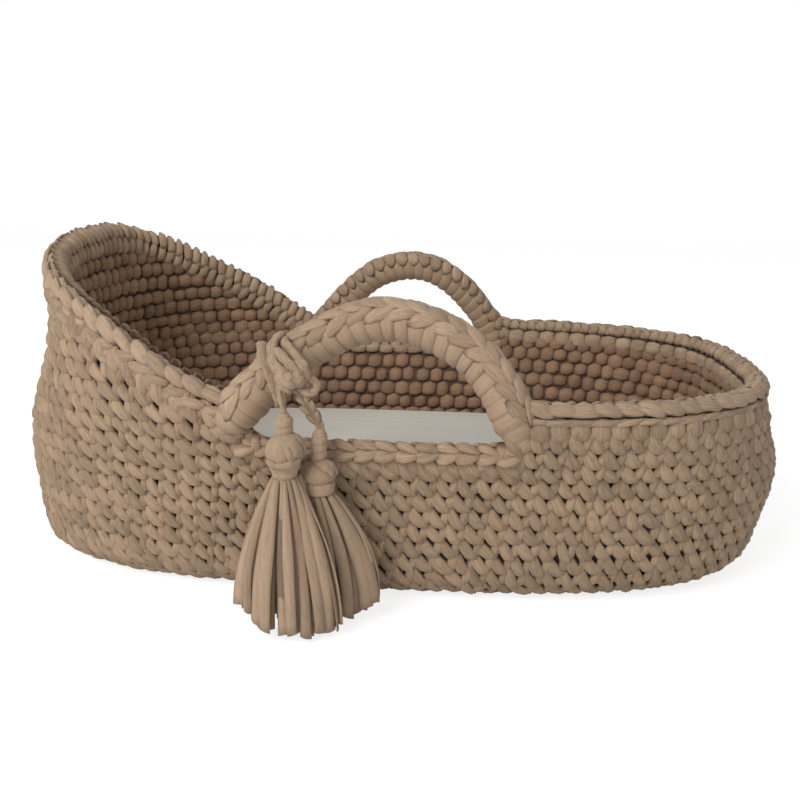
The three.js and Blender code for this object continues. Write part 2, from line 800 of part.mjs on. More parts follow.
// The cord starts with a round end under the knot, where it swings
function buildCord(name, top, bottom) {
  const bow = new THREE.Vector3(0, -cordRadius / 2, 0);
  const curve = new THREE.CatmullRomCurve3([
    top, top.clone().lerp(bottom, 0.5).add(bow), bottom.clone().addScaledVector(up, 2 * cordRadius), bottom,
  ]);
  const section = new THREE.Shape(ringAngles(cordSides).map(
    (angle) => new THREE.Vector2(cordRadius * Math.cos(angle), cordRadius * Math.sin(angle)),
  ));
  const options = { steps: cordSteps, extrudePath: curve, curveSegments: 1 };
  const tube = new THREE.ExtrudeGeometry(section, options);
  const end = new THREE.SphereGeometry(cordRadius, cordSides, cordSides).rotateX(Math.PI / 2);
  addPiece(name, joined(tube, end.translate(top.x, top.y, top.z)), tasselYarn);
}

// A turned piece about a vertical line, from [radius, height] pairs below its top
function turned(pairs, x, y, z) {
  const profile = pairs.map(([radius, height]) => new THREE.Vector2(radius, height));
  return new THREE.LatheGeometry(profile, sleeveSides).rotateX(Math.PI / 2).translate(x, y, z);
}

function ballAt(centre, radius) {
  const ball = new THREE.SphereGeometry(radius, ballSteps, ballSteps).rotateX(Math.PI / 2);
  return ball.translate(centre.x, centre.y, centre.z);
}

// The sleeve's top is round about the point that the tassel sways from
function buildSleeve(name, tassel, pivot, ballCentre) {
  const dome = angles(Math.PI / 2, 0, domeSteps).map(
    (turn) => [sleeveRadius * Math.cos(turn), sleeveRadius * Math.sin(turn)],
  );
  dome[0][0] = 0;
  const foot = -tassel.sleeveLength - sleeveSeat;
  const profile = [...dome, [sleeveRadius, foot], [0, foot]].toReversed();
  const solid = turned(profile, pivot.x, pivot.y, pivot.z);
  addPiece(name, cutFrom(solid, ballAt(ballCentre, tassel.ballRadius + seatGap)), tasselYarn);
}

// Half the width of a tassel's neck, which clears the ball above it by a wall all round
function neckHalfWidth(tassel) {
  return tassel.ballRadius * Math.SQRT1_2 + neckWall;
}

function neckRing(tassel, centre, height) {
  const halfWidth = neckHalfWidth(tassel);
  return ringAngles(2 * stripCount).map((angle) => new THREE.Vector3(
    centre.x + halfWidth * Math.cos(angle),
    centre.y + (halfWidth - neckFlattening) * Math.sin(angle),
    height,
  ));
}

function buildNeck(name, tassel, centre, top, bottom) {
  const rings = [neckRing(tassel, centre, bottom), neckRing(tassel, centre, top)];
  const middles = [bottom, top].map((height) => centre.clone().setZ(height));
  const band = stack(rings, ...middles);
  addPiece(name, cutFrom(band, ballAt(centre, tassel.ballRadius + seatGap)), windingYarn);
}

// The skirt spreads from the neck to ragged tips, with a flute for each cut strip
function buildSkirt(name, tassel, centre, top) {
  const neckWidth = neckHalfWidth(tassel);
  const rings = angles(0, 1, skirtRings).map((share) => {
    const spread = Math.sin((share * Math.PI) / 2);
    const halfWidth = THREE.MathUtils.lerp(neckWidth, tassel.tipHalfWidth, spread);
    const halfDepth = THREE.MathUtils.lerp(neckWidth - neckFlattening, tassel.tipHalfDepth, spread);
    return ringAngles(2 * stripCount).map((angle, i) => {
      const flute = i % 2 === 0 ? 1 : 1 - stripRelief * spread;
      const stagger = (tipStagger * (1 + Math.sin(staggerTurn * i))) / 2;
      const bottom = skirtFloorGap + stagger;
      return new THREE.Vector3(
        centre.x + tassel.leanX * share + halfWidth * flute * Math.cos(angle),
        centre.y + tassel.leanY * share + halfDepth * flute * Math.sin(angle),
        THREE.MathUtils.lerp(top, bottom, share),
      );
    });
  });
  const tip = centre.clone().add(new THREE.Vector3(tassel.leanX, tassel.leanY, 0));
  const first = centre.clone().setZ(top);
  const last = tip.setZ(skirtFloorGap + tipStagger);
  addPiece(name, stack(rings, first, last), tasselYarn);
}

function buildTassel(tassel, knot) {
  const top = cordTop(tassel, knot);
  const bottom = knot.clone().add(new THREE.Vector3(tassel.footAlong, -tassel.footOut, -tassel.footDown));
  const pivot = bottom.clone().addScaledVector(up, -seatGap - sleeveRadius);
  const centre = pivot.clone().addScaledVector(up, -tassel.sleeveLength - tassel.ballRadius);
  const neckTop = centre.z - tassel.ballRadius * Math.SQRT1_2;
  const neckBottom = neckTop - tassel.neckHeight;
  buildCord(`tassel_cord_${tassel.side}`, top, bottom);
  buildSleeve(`tassel_sleeve_${tassel.side}`, tassel, pivot, centre);
  addPiece(`tassel_ball_${tassel.side}`, ballAt(centre, tassel.ballRadius), tasselYarn);
  buildNeck(`tassel_neck_${tassel.side}`, tassel, centre, neckTop, neckBottom);
  buildSkirt(`tassel_skirt_${tassel.side}`, tassel, centre, neckBottom - seatGap);
}

buildBase();
buildWall();
buildHeadEnd();
buildEdging();
const nearHandle = buildHandle('near', -1);
buildHandle('far', 1);
buildMattress();
const knot = knotCentre(nearHandle);
buildTie(nearHandle, knot);
tassels.forEach((tassel) => buildTassel(tassel, knot));

export default root;
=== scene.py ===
# %% [markdown]
# # A crocheted carrying basket
# The basket is worked in thick t-shirt yarn: an oval base, a wall of stitch rounds, a raised head end,
# braided edges, two rope handles and a pair of tassels. Its look is the stitches themselves, so each kind of
# stitch is modelled once, from a few faces, and then worked round by round over the wall, as a crochet hook
# would.

# %% Load the fixed frame
import math

import bpy
import numpy as np
from mathutils import Matrix, Vector


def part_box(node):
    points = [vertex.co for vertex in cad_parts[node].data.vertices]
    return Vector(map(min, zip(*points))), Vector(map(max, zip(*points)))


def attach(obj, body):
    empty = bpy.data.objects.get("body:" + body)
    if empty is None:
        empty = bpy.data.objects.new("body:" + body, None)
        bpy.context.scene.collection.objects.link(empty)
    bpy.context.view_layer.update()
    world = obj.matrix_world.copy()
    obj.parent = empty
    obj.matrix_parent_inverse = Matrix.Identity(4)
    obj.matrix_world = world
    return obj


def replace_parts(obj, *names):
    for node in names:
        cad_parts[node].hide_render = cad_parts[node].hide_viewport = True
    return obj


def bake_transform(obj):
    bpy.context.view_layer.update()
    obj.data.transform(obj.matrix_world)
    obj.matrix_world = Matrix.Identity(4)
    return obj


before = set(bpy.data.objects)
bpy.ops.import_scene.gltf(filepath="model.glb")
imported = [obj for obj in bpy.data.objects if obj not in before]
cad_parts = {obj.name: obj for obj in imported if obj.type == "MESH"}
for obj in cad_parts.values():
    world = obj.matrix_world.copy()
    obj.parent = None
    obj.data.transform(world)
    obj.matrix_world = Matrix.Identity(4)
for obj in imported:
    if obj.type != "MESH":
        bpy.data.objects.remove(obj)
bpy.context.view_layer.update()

scene = bpy.context.scene
scene.view_settings.view_transform = "Standard"
MM = 0.001
random = np.random.default_rng(7)

# %% [markdown]
# ## The camera
# The photograph looks down a little on the near side, from just right of the middle. A camera is placed by
# its position and its three axes, because that is exact where yaw, pitch and roll are all small.

# %% Camera
CAMERA_PLACE = Vector((0.062, -0.9587, 0.4114))
CAMERA_YAW = 0.0655
CAMERA_PITCH = 0.266
CAMERA_ROLL = 0.0144
CAMERA_LENS = 39.44


def make_camera():
    forward = Vector((
        -math.sin(CAMERA_YAW) * math.cos(CAMERA_PITCH),
        math.cos(CAMERA_YAW) * math.cos(CAMERA_PITCH),
        -math.sin(CAMERA_PITCH),
    ))
    level = Vector((math.cos(CAMERA_YAW), math.sin(CAMERA_YAW), 0))
    upright = level.cross(forward)
    right = level * math.cos(CAMERA_ROLL) + upright * math.sin(CAMERA_ROLL)
    top = upright * math.cos(CAMERA_ROLL) - level * math.sin(CAMERA_ROLL)
    data = bpy.data.cameras.new("camera")
    data.lens = CAMERA_LENS
    data.sensor_width = 36
    camera = bpy.data.objects.new("camera", data)
    axes = Matrix((right, top, -forward)).transposed().to_4x4()
    camera.matrix_world = Matrix.Translation(CAMERA_PLACE) @ axes
    scene.collection.objects.link(camera)
    scene.camera = camera


make_camera()

# %% [markdown]
# ## Yarn
# T-shirt yarn is a strip of knit fabric that curls into a soft tube. It is matt, it creases along its length,
# and each stitch's tone differs a little, at random. One node group gives all of that, from three things that
# each piece carries: a UV map that runs along the yarn, a tone for each stitch, and how deep a point lies in
# the work. Points deep in the work, creases and folds are drawn darker in the colour: painted shade.

# %% The yarn's shader group


def new_group(name, inputs, outputs):
    group = bpy.data.node_groups.new(name, "ShaderNodeTree")
    for label, kind, value in inputs:
        socket = group.interface.new_socket(name=label, in_out="INPUT", socket_type=kind)
        socket.default_value = value
    for label, kind in outputs:
        group.interface.new_socket(name=label, in_out="OUTPUT", socket_type=kind)
    return group, group.nodes.new("NodeGroupInput"), group.nodes.new("NodeGroupOutput")


def add_node(tree, kind, settings=None, **values):
    node = tree.nodes.new(kind)
    for key, value in (settings or {}).items():
        setattr(node, key, value)
    for key, value in values.items():
        node.inputs[key.replace("_", " ")].default_value = value
    return node


def math_node(tree, operation, a, b=None, clamp=False):
    node = add_node(tree, "ShaderNodeMath", {"operation": operation, "use_clamp": clamp})
    for i, value in enumerate((a, b)):
        if value is None:
            continue
        if isinstance(value, bpy.types.NodeSocket):
            tree.links.new(value, node.inputs[i])
        else:
            node.inputs[i].default_value = value
    return node.outputs[0]


def mix_colour(tree, factor, first, second, blend="MIX"):
    """A mix of two colours. Blender keeps its factor at input 0, its colours at 6 and 7, its result at 2."""
    node = add_node(tree, "ShaderNodeMix", {"data_type": "RGBA", "blend_type": blend, "clamp_factor": True})
    for socket, value in zip((node.inputs[0], node.inputs[6], node.inputs[7]), (factor, first, second)):
        if isinstance(value, bpy.types.NodeSocket):
            tree.links.new(value, socket)
        else:
            socket.default_value = value
    return node.outputs[2]


def build_yarn_group():
    colour = (0.4, 0.28, 0.19, 1)
    dark = (0.08, 0.04, 0.025, 1)
    group, inputs, outputs = new_group("yarn_surface", [
        ("Yarn", "NodeSocketColor", colour),
        ("Painted Gap Shade", "NodeSocketColor", dark),
        ("Creases", "NodeSocketFloat", 1.0),
        ("Fibre Scale", "NodeSocketFloat", 900.0),
    ], [("Colour", "NodeSocketColor"), ("Height", "NodeSocketFloat"), ("Roughness", "NodeSocketFloat")])
    links = group.links
    uv = add_node(group, "ShaderNodeUVMap", {"uv_map": "along"})
    tone = add_node(group, "ShaderNodeAttribute", {"attribute_name": "tone"})
    depth = add_node(group, "ShaderNodeAttribute", {"attribute_name": "depth"})
    place = add_node(group, "ShaderNodeTexCoord")

    def stretched_noise(round_scale, along_scale, detail, distortion):
        stretch = add_node(group, "ShaderNodeMapping", Scale=(round_scale, along_scale, 1.0))
        links.new(uv.outputs[0], stretch.inputs[0])
        noise = add_node(
            group, "ShaderNodeTexNoise", Scale=1.0, Detail=detail, Roughness=0.55, Distortion=distortion,
        )
        links.new(stretch.outputs[0], noise.inputs["Vector"])
        return noise.outputs["Fac"]

    def line_where_even(noise, half_width):
        """0 on the lines where a noise crosses its middle value, and 1 away from them."""
        off = math_node(group, "ABSOLUTE", math_node(group, "SUBTRACT", noise, 0.5))
        return math_node(group, "DIVIDE", off, half_width, clamp=True)

    fold = stretched_noise(4.0, 0.34, 1.0, 0.3)
    crease = line_where_even(stretched_noise(6.5, 0.42, 1.5, 0.5), 0.035)
    hair = line_where_even(stretched_noise(15.0, 0.7, 1.0, 0.3), 0.05)
    fibre = add_node(group, "ShaderNodeTexNoise", Detail=2.0, Roughness=0.7)
    links.new(place.outputs["Object"], fibre.inputs["Vector"])
    links.new(inputs.outputs["Fibre Scale"], fibre.inputs["Scale"])

    def scaled(value, factor, base):
        result = math_node(group, "MULTIPLY_ADD", value, factor)
        if isinstance(base, bpy.types.NodeSocket):
            links.new(base, result.node.inputs[2])
        else:
            result.node.inputs[2].default_value = base
        return result

    def times(first, *others):
        for other in others:
            first = math_node(group, "MULTIPLY", first, other)
        return first

    bright = scaled(tone.outputs["Fac"], 0.3, 0.85)
    grain = scaled(fibre.outputs["Fac"], 0.2, 0.9)
    # The colour is drawn darker in the low parts of folds and along creases: painted shade. The same folds
    # and creases also give the bump relief.
    fold_shade = scaled(fold, 0.3, 0.85)
    pressed = times(math_node(group, "SUBTRACT", 1.0, crease), inputs.outputs["Creases"])
    crease_shade = scaled(pressed, -0.34, 1.0)
    value = times(bright, grain, fold_shade, crease_shade, scaled(hair, 0.06, 0.94))
    shade = add_node(group, "ShaderNodeCombineColor")
    for i in range(3):
        links.new(value, shade.inputs[i])
    body = mix_colour(group, 1.0, inputs.outputs["Yarn"], shade.outputs[0], "MULTIPLY")
    # Points deep in the work are mixed towards the dark gap colour: painted shade in the hollows between
    # stitches.
    links.new(mix_colour(group, depth.outputs["Fac"], inputs.outputs["Painted Gap Shade"], body), outputs.inputs["Colour"])
    relief = scaled(pressed, -0.55, scaled(fold, 0.9, 0.0))
    relief = scaled(hair, 0.1, relief)
    links.new(scaled(fibre.outputs["Fac"], 0.08, relief), outputs.inputs["Height"])
    links.new(scaled(fibre.outputs["Fac"], 0.2, 0.76), outputs.inputs["Roughness"])
    return group


yarn_group = build_yarn_group()


def yarn_material(name, colour, gap=(0.075, 0.036, 0.022), creases=1.0, relief=0.0011):
    material = bpy.data.materials.new(name)
    material.use_nodes = True
    tree = material.node_tree
    shader = tree.nodes["Principled BSDF"]
    surface = add_node(tree, "ShaderNodeGroup", {"node_tree": yarn_group})
    surface.inputs["Yarn"].default_value = (*colour, 1)
    surface.inputs["Painted Gap Shade"].default_value = (*gap, 1)
    surface.inputs["Creases"].default_value = creases
    bump = add_node(tree, "ShaderNodeBump", Strength=0.9, Distance=relief)
    tree.links.new(surface.outputs["Colour"], shader.inputs["Base Color"])
    tree.links.new(surface.outputs["Roughness"], shader.inputs["Roughness"])
    tree.links.new(surface.outputs["Height"], bump.inputs["Height"])
    tree.links.new(bump.outputs["Normal"], shader.inputs["Normal"])
    shader.inputs["Specular IOR Level"].default_value = 0.25
    shader.inputs["Sheen Weight"].default_value = 0.12
    return material


wall_yarn = yarn_material("wall yarn", (0.385, 0.268, 0.174), creases=0.6)
# The inside of the wall is the same yarn as the outside; its colour is set darker and redder as painted shade
# for the shaded inside of the basket.
inner_yarn_painted_shade = yarn_material("inner yarn with painted shade", (0.315, 0.192, 0.118), creases=0.5)
edge_yarn = yarn_material("edging yarn", (0.422, 0.295, 0.196), creases=0.55)
winding_yarn = yarn_material("winding yarn", (0.422, 0.295, 0.196), creases=0.4, relief=0.0006)
tassel_yarn = yarn_material("tassel yarn", (0.400, 0.280, 0.186), creases=0.7, relief=0.0009)
strip_yarn = yarn_material("cut strips", (0.392, 0.276, 0.183), creases=0.4, relief=0.0006)
rope_cotton = yarn_material("rope cotton", (0.62, 0.56, 0.46), creases=1.0, relief=0.0008)
print("yarn materials:", [m.name for m in bpy.data.materials if "yarn" in m.name])

# %% [markdown]
# ## The wall as a surface
# All the stitches lie on one surface: a squarish oval that swells at mid height, flares at the rim and turns
# in under the base. It is written from the sizes of the frame's own wall, so the rounds need no fitting. Only
# the slots' ends and the slump of the hood's near corner come from the photograph alone.

# %% The wall's shape
HALF_LENGTH = 400 * MM
WALL_THICKNESS = 20 * MM
BOTTOM_RADIUS = 34 * MM
WALL_HEIGHT = 199 * MM
BULGE_HEIGHT = 110 * MM
WAIST_HEIGHT = 262 * MM
HOOD_HEIGHT = 327 * MM
EDGING_HEIGHT = 12 * MM
RIM_HALF_WIDTH = 224 * MM
OUTLINE_POWER = 3
SLOT_HALF_LENGTH = 140 * MM
SLOT_ENDS = {"near": (-136 * MM, 121 * MM), "far": (-140 * MM, 113 * MM)}
LIP_HEIGHT = WALL_HEIGHT - 43 * MM
HOOD_TOP = HOOD_HEIGHT + EDGING_HEIGHT
HOOD_POWER_NEAR = 1.25
HOOD_POWER_FAR = 0.95
HOOD_SLUMP = 14 * MM
HOOD_SLUMP_TURN = 0.42
HOOD_SLUMP_SPREAD = 0.42


def smooth_through(heights, values):
    """A smooth curve through pairs that never swings past a pair."""
    heights, values = np.array(heights), np.array(values)
    rises = np.diff(values) / np.diff(heights)
    slopes = np.concatenate([rises[:1], np.zeros(len(rises) - 1), rises[-1:]])
    for i in range(1, len(rises)):
        before, after = rises[i - 1], rises[i]
        slopes[i] = 2 * before * after / (before + after) if before * after > 0 else 0

    def at(height):
        height = np.clip(height, heights[0], heights[-1])
        i = np.clip(np.searchsorted(heights, height, side="right") - 1, 0, len(rises) - 1)
        span = heights[i + 1] - heights[i]
        t = (height - heights[i]) / span
        start = values[i] * (1 + 2 * t) * (1 - t) ** 2 + slopes[i] * span * t * (1 - t) ** 2
        return start + values[i + 1] * (3 - 2 * t) * t * t - slopes[i + 1] * span * t * t * (1 - t)

    return at


foot_reach = smooth_through(
    [0, BULGE_HEIGHT, WALL_HEIGHT, HOOD_TOP],
    [HALF_LENGTH - 24 * MM, HALF_LENGTH, HALF_LENGTH - 20 * MM, HALF_LENGTH - 20 * MM],
)
head_reach = smooth_through(
    [0, BULGE_HEIGHT, WAIST_HEIGHT, HOOD_TOP],
    [HALF_LENGTH - 8 * MM, HALF_LENGTH, HALF_LENGTH - 36 * MM, HALF_LENGTH - 31 * MM],
)
side_reach = smooth_through(
    [0, BULGE_HEIGHT, WALL_HEIGHT, HOOD_TOP], [192 * MM, 203 * MM, RIM_HALF_WIDTH, RIM_HALF_WIDTH],
)


def wall_point(inset, height, angle):
    """Places on the wall: so far in from the outside, so high, at an angle round the oval."""
    inset, height, angle = np.broadcast_arrays(inset, height, angle)
    along, across = np.cos(angle), np.sin(angle)
    reach = np.where(along < 0, head_reach(height), foot_reach(height)) - inset
    x = np.sign(along) * reach * np.abs(along) ** (2 / OUTLINE_POWER)
    y = np.sign(across) * (side_reach(height) - inset) * np.abs(across) ** (2 / OUTLINE_POWER)
    return np.stack([x, y, height], axis=-1)


def climb(way):
    """From the distance up the outside, starting on the floor, to (inset, height)."""
    way = np.asarray(way, float)
    corner = BOTTOM_RADIUS * math.pi / 2
    turn = np.clip(way / BOTTOM_RADIUS, 0, math.pi / 2)
    inset = BOTTOM_RADIUS * (1 - np.sin(turn))
    height = np.where(way < corner, BOTTOM_RADIUS * (1 - np.cos(turn)), BOTTOM_RADIUS + way - corner)
    return inset, height


def hood_height(angle):
    """The top of the wall at the head end, from the handles up to the hood. Its near corner slumps."""
    reach = head_reach(WAIST_HEIGHT)
    x = np.where(np.cos(angle) < 0, -reach * np.abs(np.cos(angle)) ** (2 / OUTLINE_POWER), reach)
    share = np.clip((-SLOT_HALF_LENGTH - x) / (reach - SLOT_HALF_LENGTH), 0, 1)
    power = np.where(np.sin(angle) < 0, HOOD_POWER_NEAR, HOOD_POWER_FAR)
    towards_near = np.arctan2(-np.sin(angle), -np.cos(angle))
    slump = HOOD_SLUMP * np.exp(-((towards_near - HOOD_SLUMP_TURN) / HOOD_SLUMP_SPREAD) ** 2)
    return WALL_HEIGHT + (HOOD_HEIGHT - WALL_HEIGHT) * share ** power - slump


FINE_ANGLES = np.linspace(-math.pi, math.pi, 1441)


def evenly_round(inset, height, count, offset):
    """Angles of stitches that are the same distance apart round the oval."""
    line = wall_point(inset, height, FINE_ANGLES)
    along = np.concatenate([[0], np.cumsum(np.linalg.norm(np.diff(line, axis=0), axis=1))])
    targets = ((np.arange(count) + offset) % count) / count * along[-1]
    return np.interp(targets, along, FINE_ANGLES)


def unit(vectors):
    return vectors / np.maximum(np.linalg.norm(vectors, axis=-1, keepdims=True), 1e-12)


def wall_frames(way, angle, depth=0.0):
    """Where stitches lie on the outside, with their right, up and out directions."""
    step_way, step_angle = 2 * MM, 0.004

    def surface(distance, turn):
        inset, height = climb(distance)
        return wall_point(inset, height, turn)

    place = surface(way, angle)
    right = unit(surface(way, angle + step_angle) - surface(way, angle - step_angle))
    up = unit(surface(way + step_way, angle) - surface(np.maximum(way - step_way, 0), angle))
    out = unit(np.cross(right, up))
    up = np.cross(out, right)
    return {"place": place - out * depth, "right": right, "up": up, "out": out}


print("the rim is", round(2 * RIM_HALF_WIDTH, 3), "m wide; the hood is", HOOD_TOP, "m high")

# %% [markdown]
# ## One stitch, from a circle
# Each leg of a stitch is a plump tube that starts thin, swells and tucks in again. A circle of a few points
# is added, then extruded, moved and resized ring by ring, just as it is done by hand. Few faces are enough,
# because smooth shading rounds them and there are thousands of legs.

# %% Model a leg
UV_UNIT = 10 * MM
UV_STEP_BETWEEN_LEGS = 3.7


def deselect_all():
    if bpy.context.mode != "OBJECT":
        bpy.ops.object.mode_set(mode="OBJECT")
    bpy.ops.object.select_all(action="DESELECT")


def model_leg(name, rings, sides):
    """A closed tube along Y through rings of (x, y, z, half width, half depth), in millimetres."""
    deselect_all()
    x, y, z, wide, deep = (value * MM for value in rings[0])
    bpy.ops.mesh.primitive_circle_add(
        vertices=sides, radius=1, fill_type="NGON", location=(x, y, z), rotation=(math.pi / 2, 0, 0),
    )
    leg = bpy.context.object
    leg.name = name
    leg.scale = (wide, deep, 1)
    bpy.ops.object.transform_apply(location=True, rotation=True, scale=True)
    bpy.ops.object.mode_set(mode="EDIT")
    bpy.ops.mesh.select_all(action="SELECT")
    for ring in rings[1:]:
        new_x, new_y, new_z, new_wide, new_deep = (value * MM for value in ring)
        move = (new_x - x, new_y - y, new_z - z)
        bpy.ops.mesh.extrude_region_move(TRANSFORM_OT_translate={"value": move})
        bpy.ops.transform.resize(
            value=(new_wide / wide, 1, new_deep / deep), center_override=(new_x, new_y, new_z),
        )
        x, y, z, wide, deep = new_x, new_y, new_z, new_wide, new_deep
    bpy.ops.mesh.select_all(action="SELECT")
    bpy.ops.mesh.normals_make_consistent(inside=False)
    bpy.ops.object.mode_set(mode="OBJECT")
    return leg


def shape_of(legs, rings_of):
    """Reads modelled legs into one shape: points, faces, and a UV that runs round and along each leg."""
    points, faces, corners = [], [], []
    for number, (leg, rings) in enumerate(zip(legs, rings_of)):
        table = np.array(rings, float) * MM
        order = np.argsort(table[:, 1])
        start = len(points)
        co = [np.array(v.co) for v in leg.data.vertices]
        uv = []
        for p in co:
            middle = [np.interp(p[1], table[order, 1], table[order, k]) for k in (0, 2)]
            turn = math.atan2(p[0] - middle[0], p[2] - middle[1]) / (2 * math.pi) + 0.5
            uv.append((turn + number * UV_STEP_BETWEEN_LEGS, p[1] / UV_UNIT))
        points += co
        for face in leg.data.polygons:
            vertices = list(face.vertices)
            faces.append([start + v for v in vertices])
            values = np.array([uv[v] for v in vertices])
            if np.ptp(values[:, 0]) > 0.5:
                low = values[:, 0] < values[:, 0].min() + 0.5
                values[low, 0] += 1
            corners.append(values)
        bpy.data.objects.remove(leg)
    return {"points": np.array(points), "faces": faces, "uv": np.concatenate(corners)}


def model_shape(name, *legs, sides):
    made = [model_leg(f"{name}_{i}", rings, sides) for i, rings in enumerate(legs)]
    shape = shape_of(made, legs)
    print(name, "has", len(shape["faces"]), "faces")
    return shape


# %% [markdown]
# ## Laying stitches
# Copying a thousand objects and joining them is slow, so the copies are laid with array arithmetic: each
# stitch's points are carried to its place by its right, up and out directions, with a little hand-made
# unevenness.

# %% Lay copies of a shape


def rest_on_floor(points):
    """Yarn that would sink into the floor is pressed flat on it."""
    soft, lowest = 3 * MM, 0.1 * MM
    height = points[:, 2]
    pressed = lowest + soft * np.exp(np.minimum(height - soft, 0) / soft)
    pressed = np.minimum(pressed, soft + lowest)
    return np.column_stack([points[:, :2], np.where(height < soft, pressed, height)])


def lay(name, arrays, material, body):
    """Makes a piece from arrays and lets it ride on a body."""
    mesh = bpy.data.meshes.new(name)
    points, faces = rest_on_floor(arrays["points"]), arrays["faces"]
    sizes = np.array([len(face) for face in faces], np.int32)
    flat = np.concatenate([np.asarray(face, np.int32) for face in faces])
    mesh.vertices.add(len(points))
    mesh.vertices.foreach_set("co", np.asarray(points, np.float32).ravel())
    mesh.loops.add(len(flat))
    mesh.loops.foreach_set("vertex_index", flat)
    mesh.polygons.add(len(sizes))
    mesh.polygons.foreach_set("loop_start", np.concatenate([[0], np.cumsum(sizes)[:-1]]).astype(np.int32))
    mesh.polygons.foreach_set("loop_total", sizes)
    layer = mesh.uv_layers.new(name="along")
    layer.data.foreach_set("uv", np.asarray(arrays["uv"], np.float32).ravel())
    for key in ("tone", "depth"):
        attribute = mesh.attributes.new(key, "FLOAT", "POINT")
        attribute.data.foreach_set("value", np.asarray(arrays[key], np.float32))
    mesh.update(calc_edges=True)
    mesh.validate()
    mesh.polygons.foreach_set("use_smooth", np.ones(len(mesh.polygons), bool))
    mesh.materials.append(material)
    piece = bpy.data.objects.new(name, mesh)
    scene.collection.objects.link(piece)
    if body:
        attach(piece, body)
    print(name, "has", sum(sizes) - 2 * len(sizes), "triangles")
    return piece


def copies(shape, frames, size, unevenness, slant=0.0, turn=0.0, *, dark_from, light_from):
    """Arrays for one copy of a shape in each frame. Slant leans a stitch, and size may be given for each.
    A copy is drawn darkest below dark_from, towards the dark gap colour, as painted shade deep in the work,
    and has its own colour above light_from."""
    count = len(frames["place"])
    points = shape["points"]
    size = np.broadcast_to(size, (count, 3)) * (1 + random.normal(0, unevenness, (count, 3)))
    turn = turn + random.normal(0, unevenness * 1.2, count)
    x = points[None, :, 0] * size[:, :1] - points[None, :, 1] * np.broadcast_to(slant, count)[:, None]
    y = points[None, :, 1] * size[:, 1:2]
    z = points[None, :, 2] * size[:, 2:]
    cos, sin = np.cos(turn)[:, None], np.sin(turn)[:, None]
    x, y = x * cos - y * sin, x * sin + y * cos
    moved = frames["place"][:, None, :] + random.normal(0, unevenness * 6 * MM, (count, 1, 3))
    for axis, key in ((x, "right"), (y, "up"), (z, "out")):
        moved = moved + axis[:, :, None] * frames[key][:, None, :]
    faces, per = [], len(points)
    template = shape["faces"]
    for i in range(count):
        faces += [[v + i * per for v in face] for face in template]
    uv = np.tile(shape["uv"], (count, 1)).reshape(count, -1, 2) + random.random((count, 1, 2)) * 40
    depth = np.clip((points[:, 2] - dark_from) / (light_from - dark_from), 0, 1)
    return {
        "points": moved.reshape(-1, 3), "faces": faces, "uv": uv.reshape(-1, 2),
        "tone": np.repeat(random.random(count), per), "depth": np.tile(depth, count),
    }


def together(*parts):
    """Several sets of arrays as one."""
    faces, start = [], 0
    for part in parts:
        faces += [[v + start for v in face] for face in part["faces"]]
        start += len(part["points"])
    joined = {key: np.concatenate([part[key] for part in parts]) for key in ("points", "uv", "tone", "depth")}
    return {**joined, "faces": faces}


def chosen(frames, keep):
    return {key: value[keep] for key, value in frames.items()}


def joined_frames(list_of_frames):
    return {key: np.concatenate([f[key] for f in list_of_frames]) for key in list_of_frames[0]}


# %% [markdown]
# ## The wall's rounds
# Seen from outside, a single crochet is a V: a broad leg that falls from the upper left lies over a narrower
# one from the upper right, and their fat lower end hides the tops of the stitch below. From inside the same
# stitch is a short plump bar. The rounds climb from the floor to the rim, and at the head end on up to its
# slope.

# %% Outside and inside stitches
STITCH_WIDTH = 18 * MM
ROW_HEIGHT = 16.2 * MM
ROUND_COUNT = 112
COLUMN_DRIFT = 0.13
INSIDE_DRIFT = 0.44
FIRST_WAY = 11 * MM
STITCH_DEPTH = 3.6 * MM
# Below dark_from the stitches are drawn in the dark gap colour, as painted shade, and above light_from in
# their own colour.
STITCH_PAINTED_SHADE = {"dark_from": -3.4 * MM, "light_from": 0}
BUMP_SINK = 3.5 * MM
BUMP_PAINTED_SHADE = {"dark_from": -1.2 * MM, "light_from": 2.8 * MM}
LEAST_SLOT_Y = 150 * MM
FOOT_FROM_X = 100 * MM
LOW_ROUNDS_TOP = 120 * MM

outside_stitch = model_shape(
    "outside_stitch",
    [(-7.8, 17.2, -4.4, 3.0, 1.0), (-7.2, 11.6, -1.6, 5.8, 2.8), (-4.8, 4.6, 0.6, 6.8, 4.1),
     (-1.4, -1.8, 1.6, 7.8, 4.9), (0.7, -7.2, 0.8, 6.9, 4.5), (1.5, -11.0, -2.4, 3.8, 2.4)],
    [(9.8, 18.2, -4.2, 1.5, 0.9), (9.4, 12.2, -0.8, 3.8, 2.6), (8.0, 5.2, 0.6, 4.6, 3.6),
     (5.8, -1.4, 0.2, 5.2, 4.0), (3.4, -7.4, -2.0, 3.2, 2.4)],
    sides=7,
)
inside_stitch = model_shape(
    "inside_stitch",
    [(0.9, -10.6, -3.2, 3.6, 1.4), (0.6, -7.4, 0.0, 7.4, 3.5), (0.2, -1.0, 1.6, 9.2, 5.0),
     (-0.6, 6.4, 0.6, 7.8, 4.0), (-1.2, 10.6, -3.0, 3.6, 1.6)],
    sides=9,
)


def wall_rounds(first_way, last_way, drift, depth=0.0):
    """Frames of all the stitches between two distances up the wall. Each round drifts on from the last."""
    rounds = []
    for row, way in enumerate(np.arange(first_way, last_way, ROW_HEIGHT)):
        inset, height = climb(way)
        offset = drift * row + 0.05 * math.sin(1.7 * row)
        angle = evenly_round(float(inset), float(height), ROUND_COUNT, offset)
        frames = wall_frames(np.full(ROUND_COUNT, way), angle, depth)
        rounds.append({**frames, "angle": angle, "height": np.full(ROUND_COUNT, float(height))})
    return joined_frames(rounds)


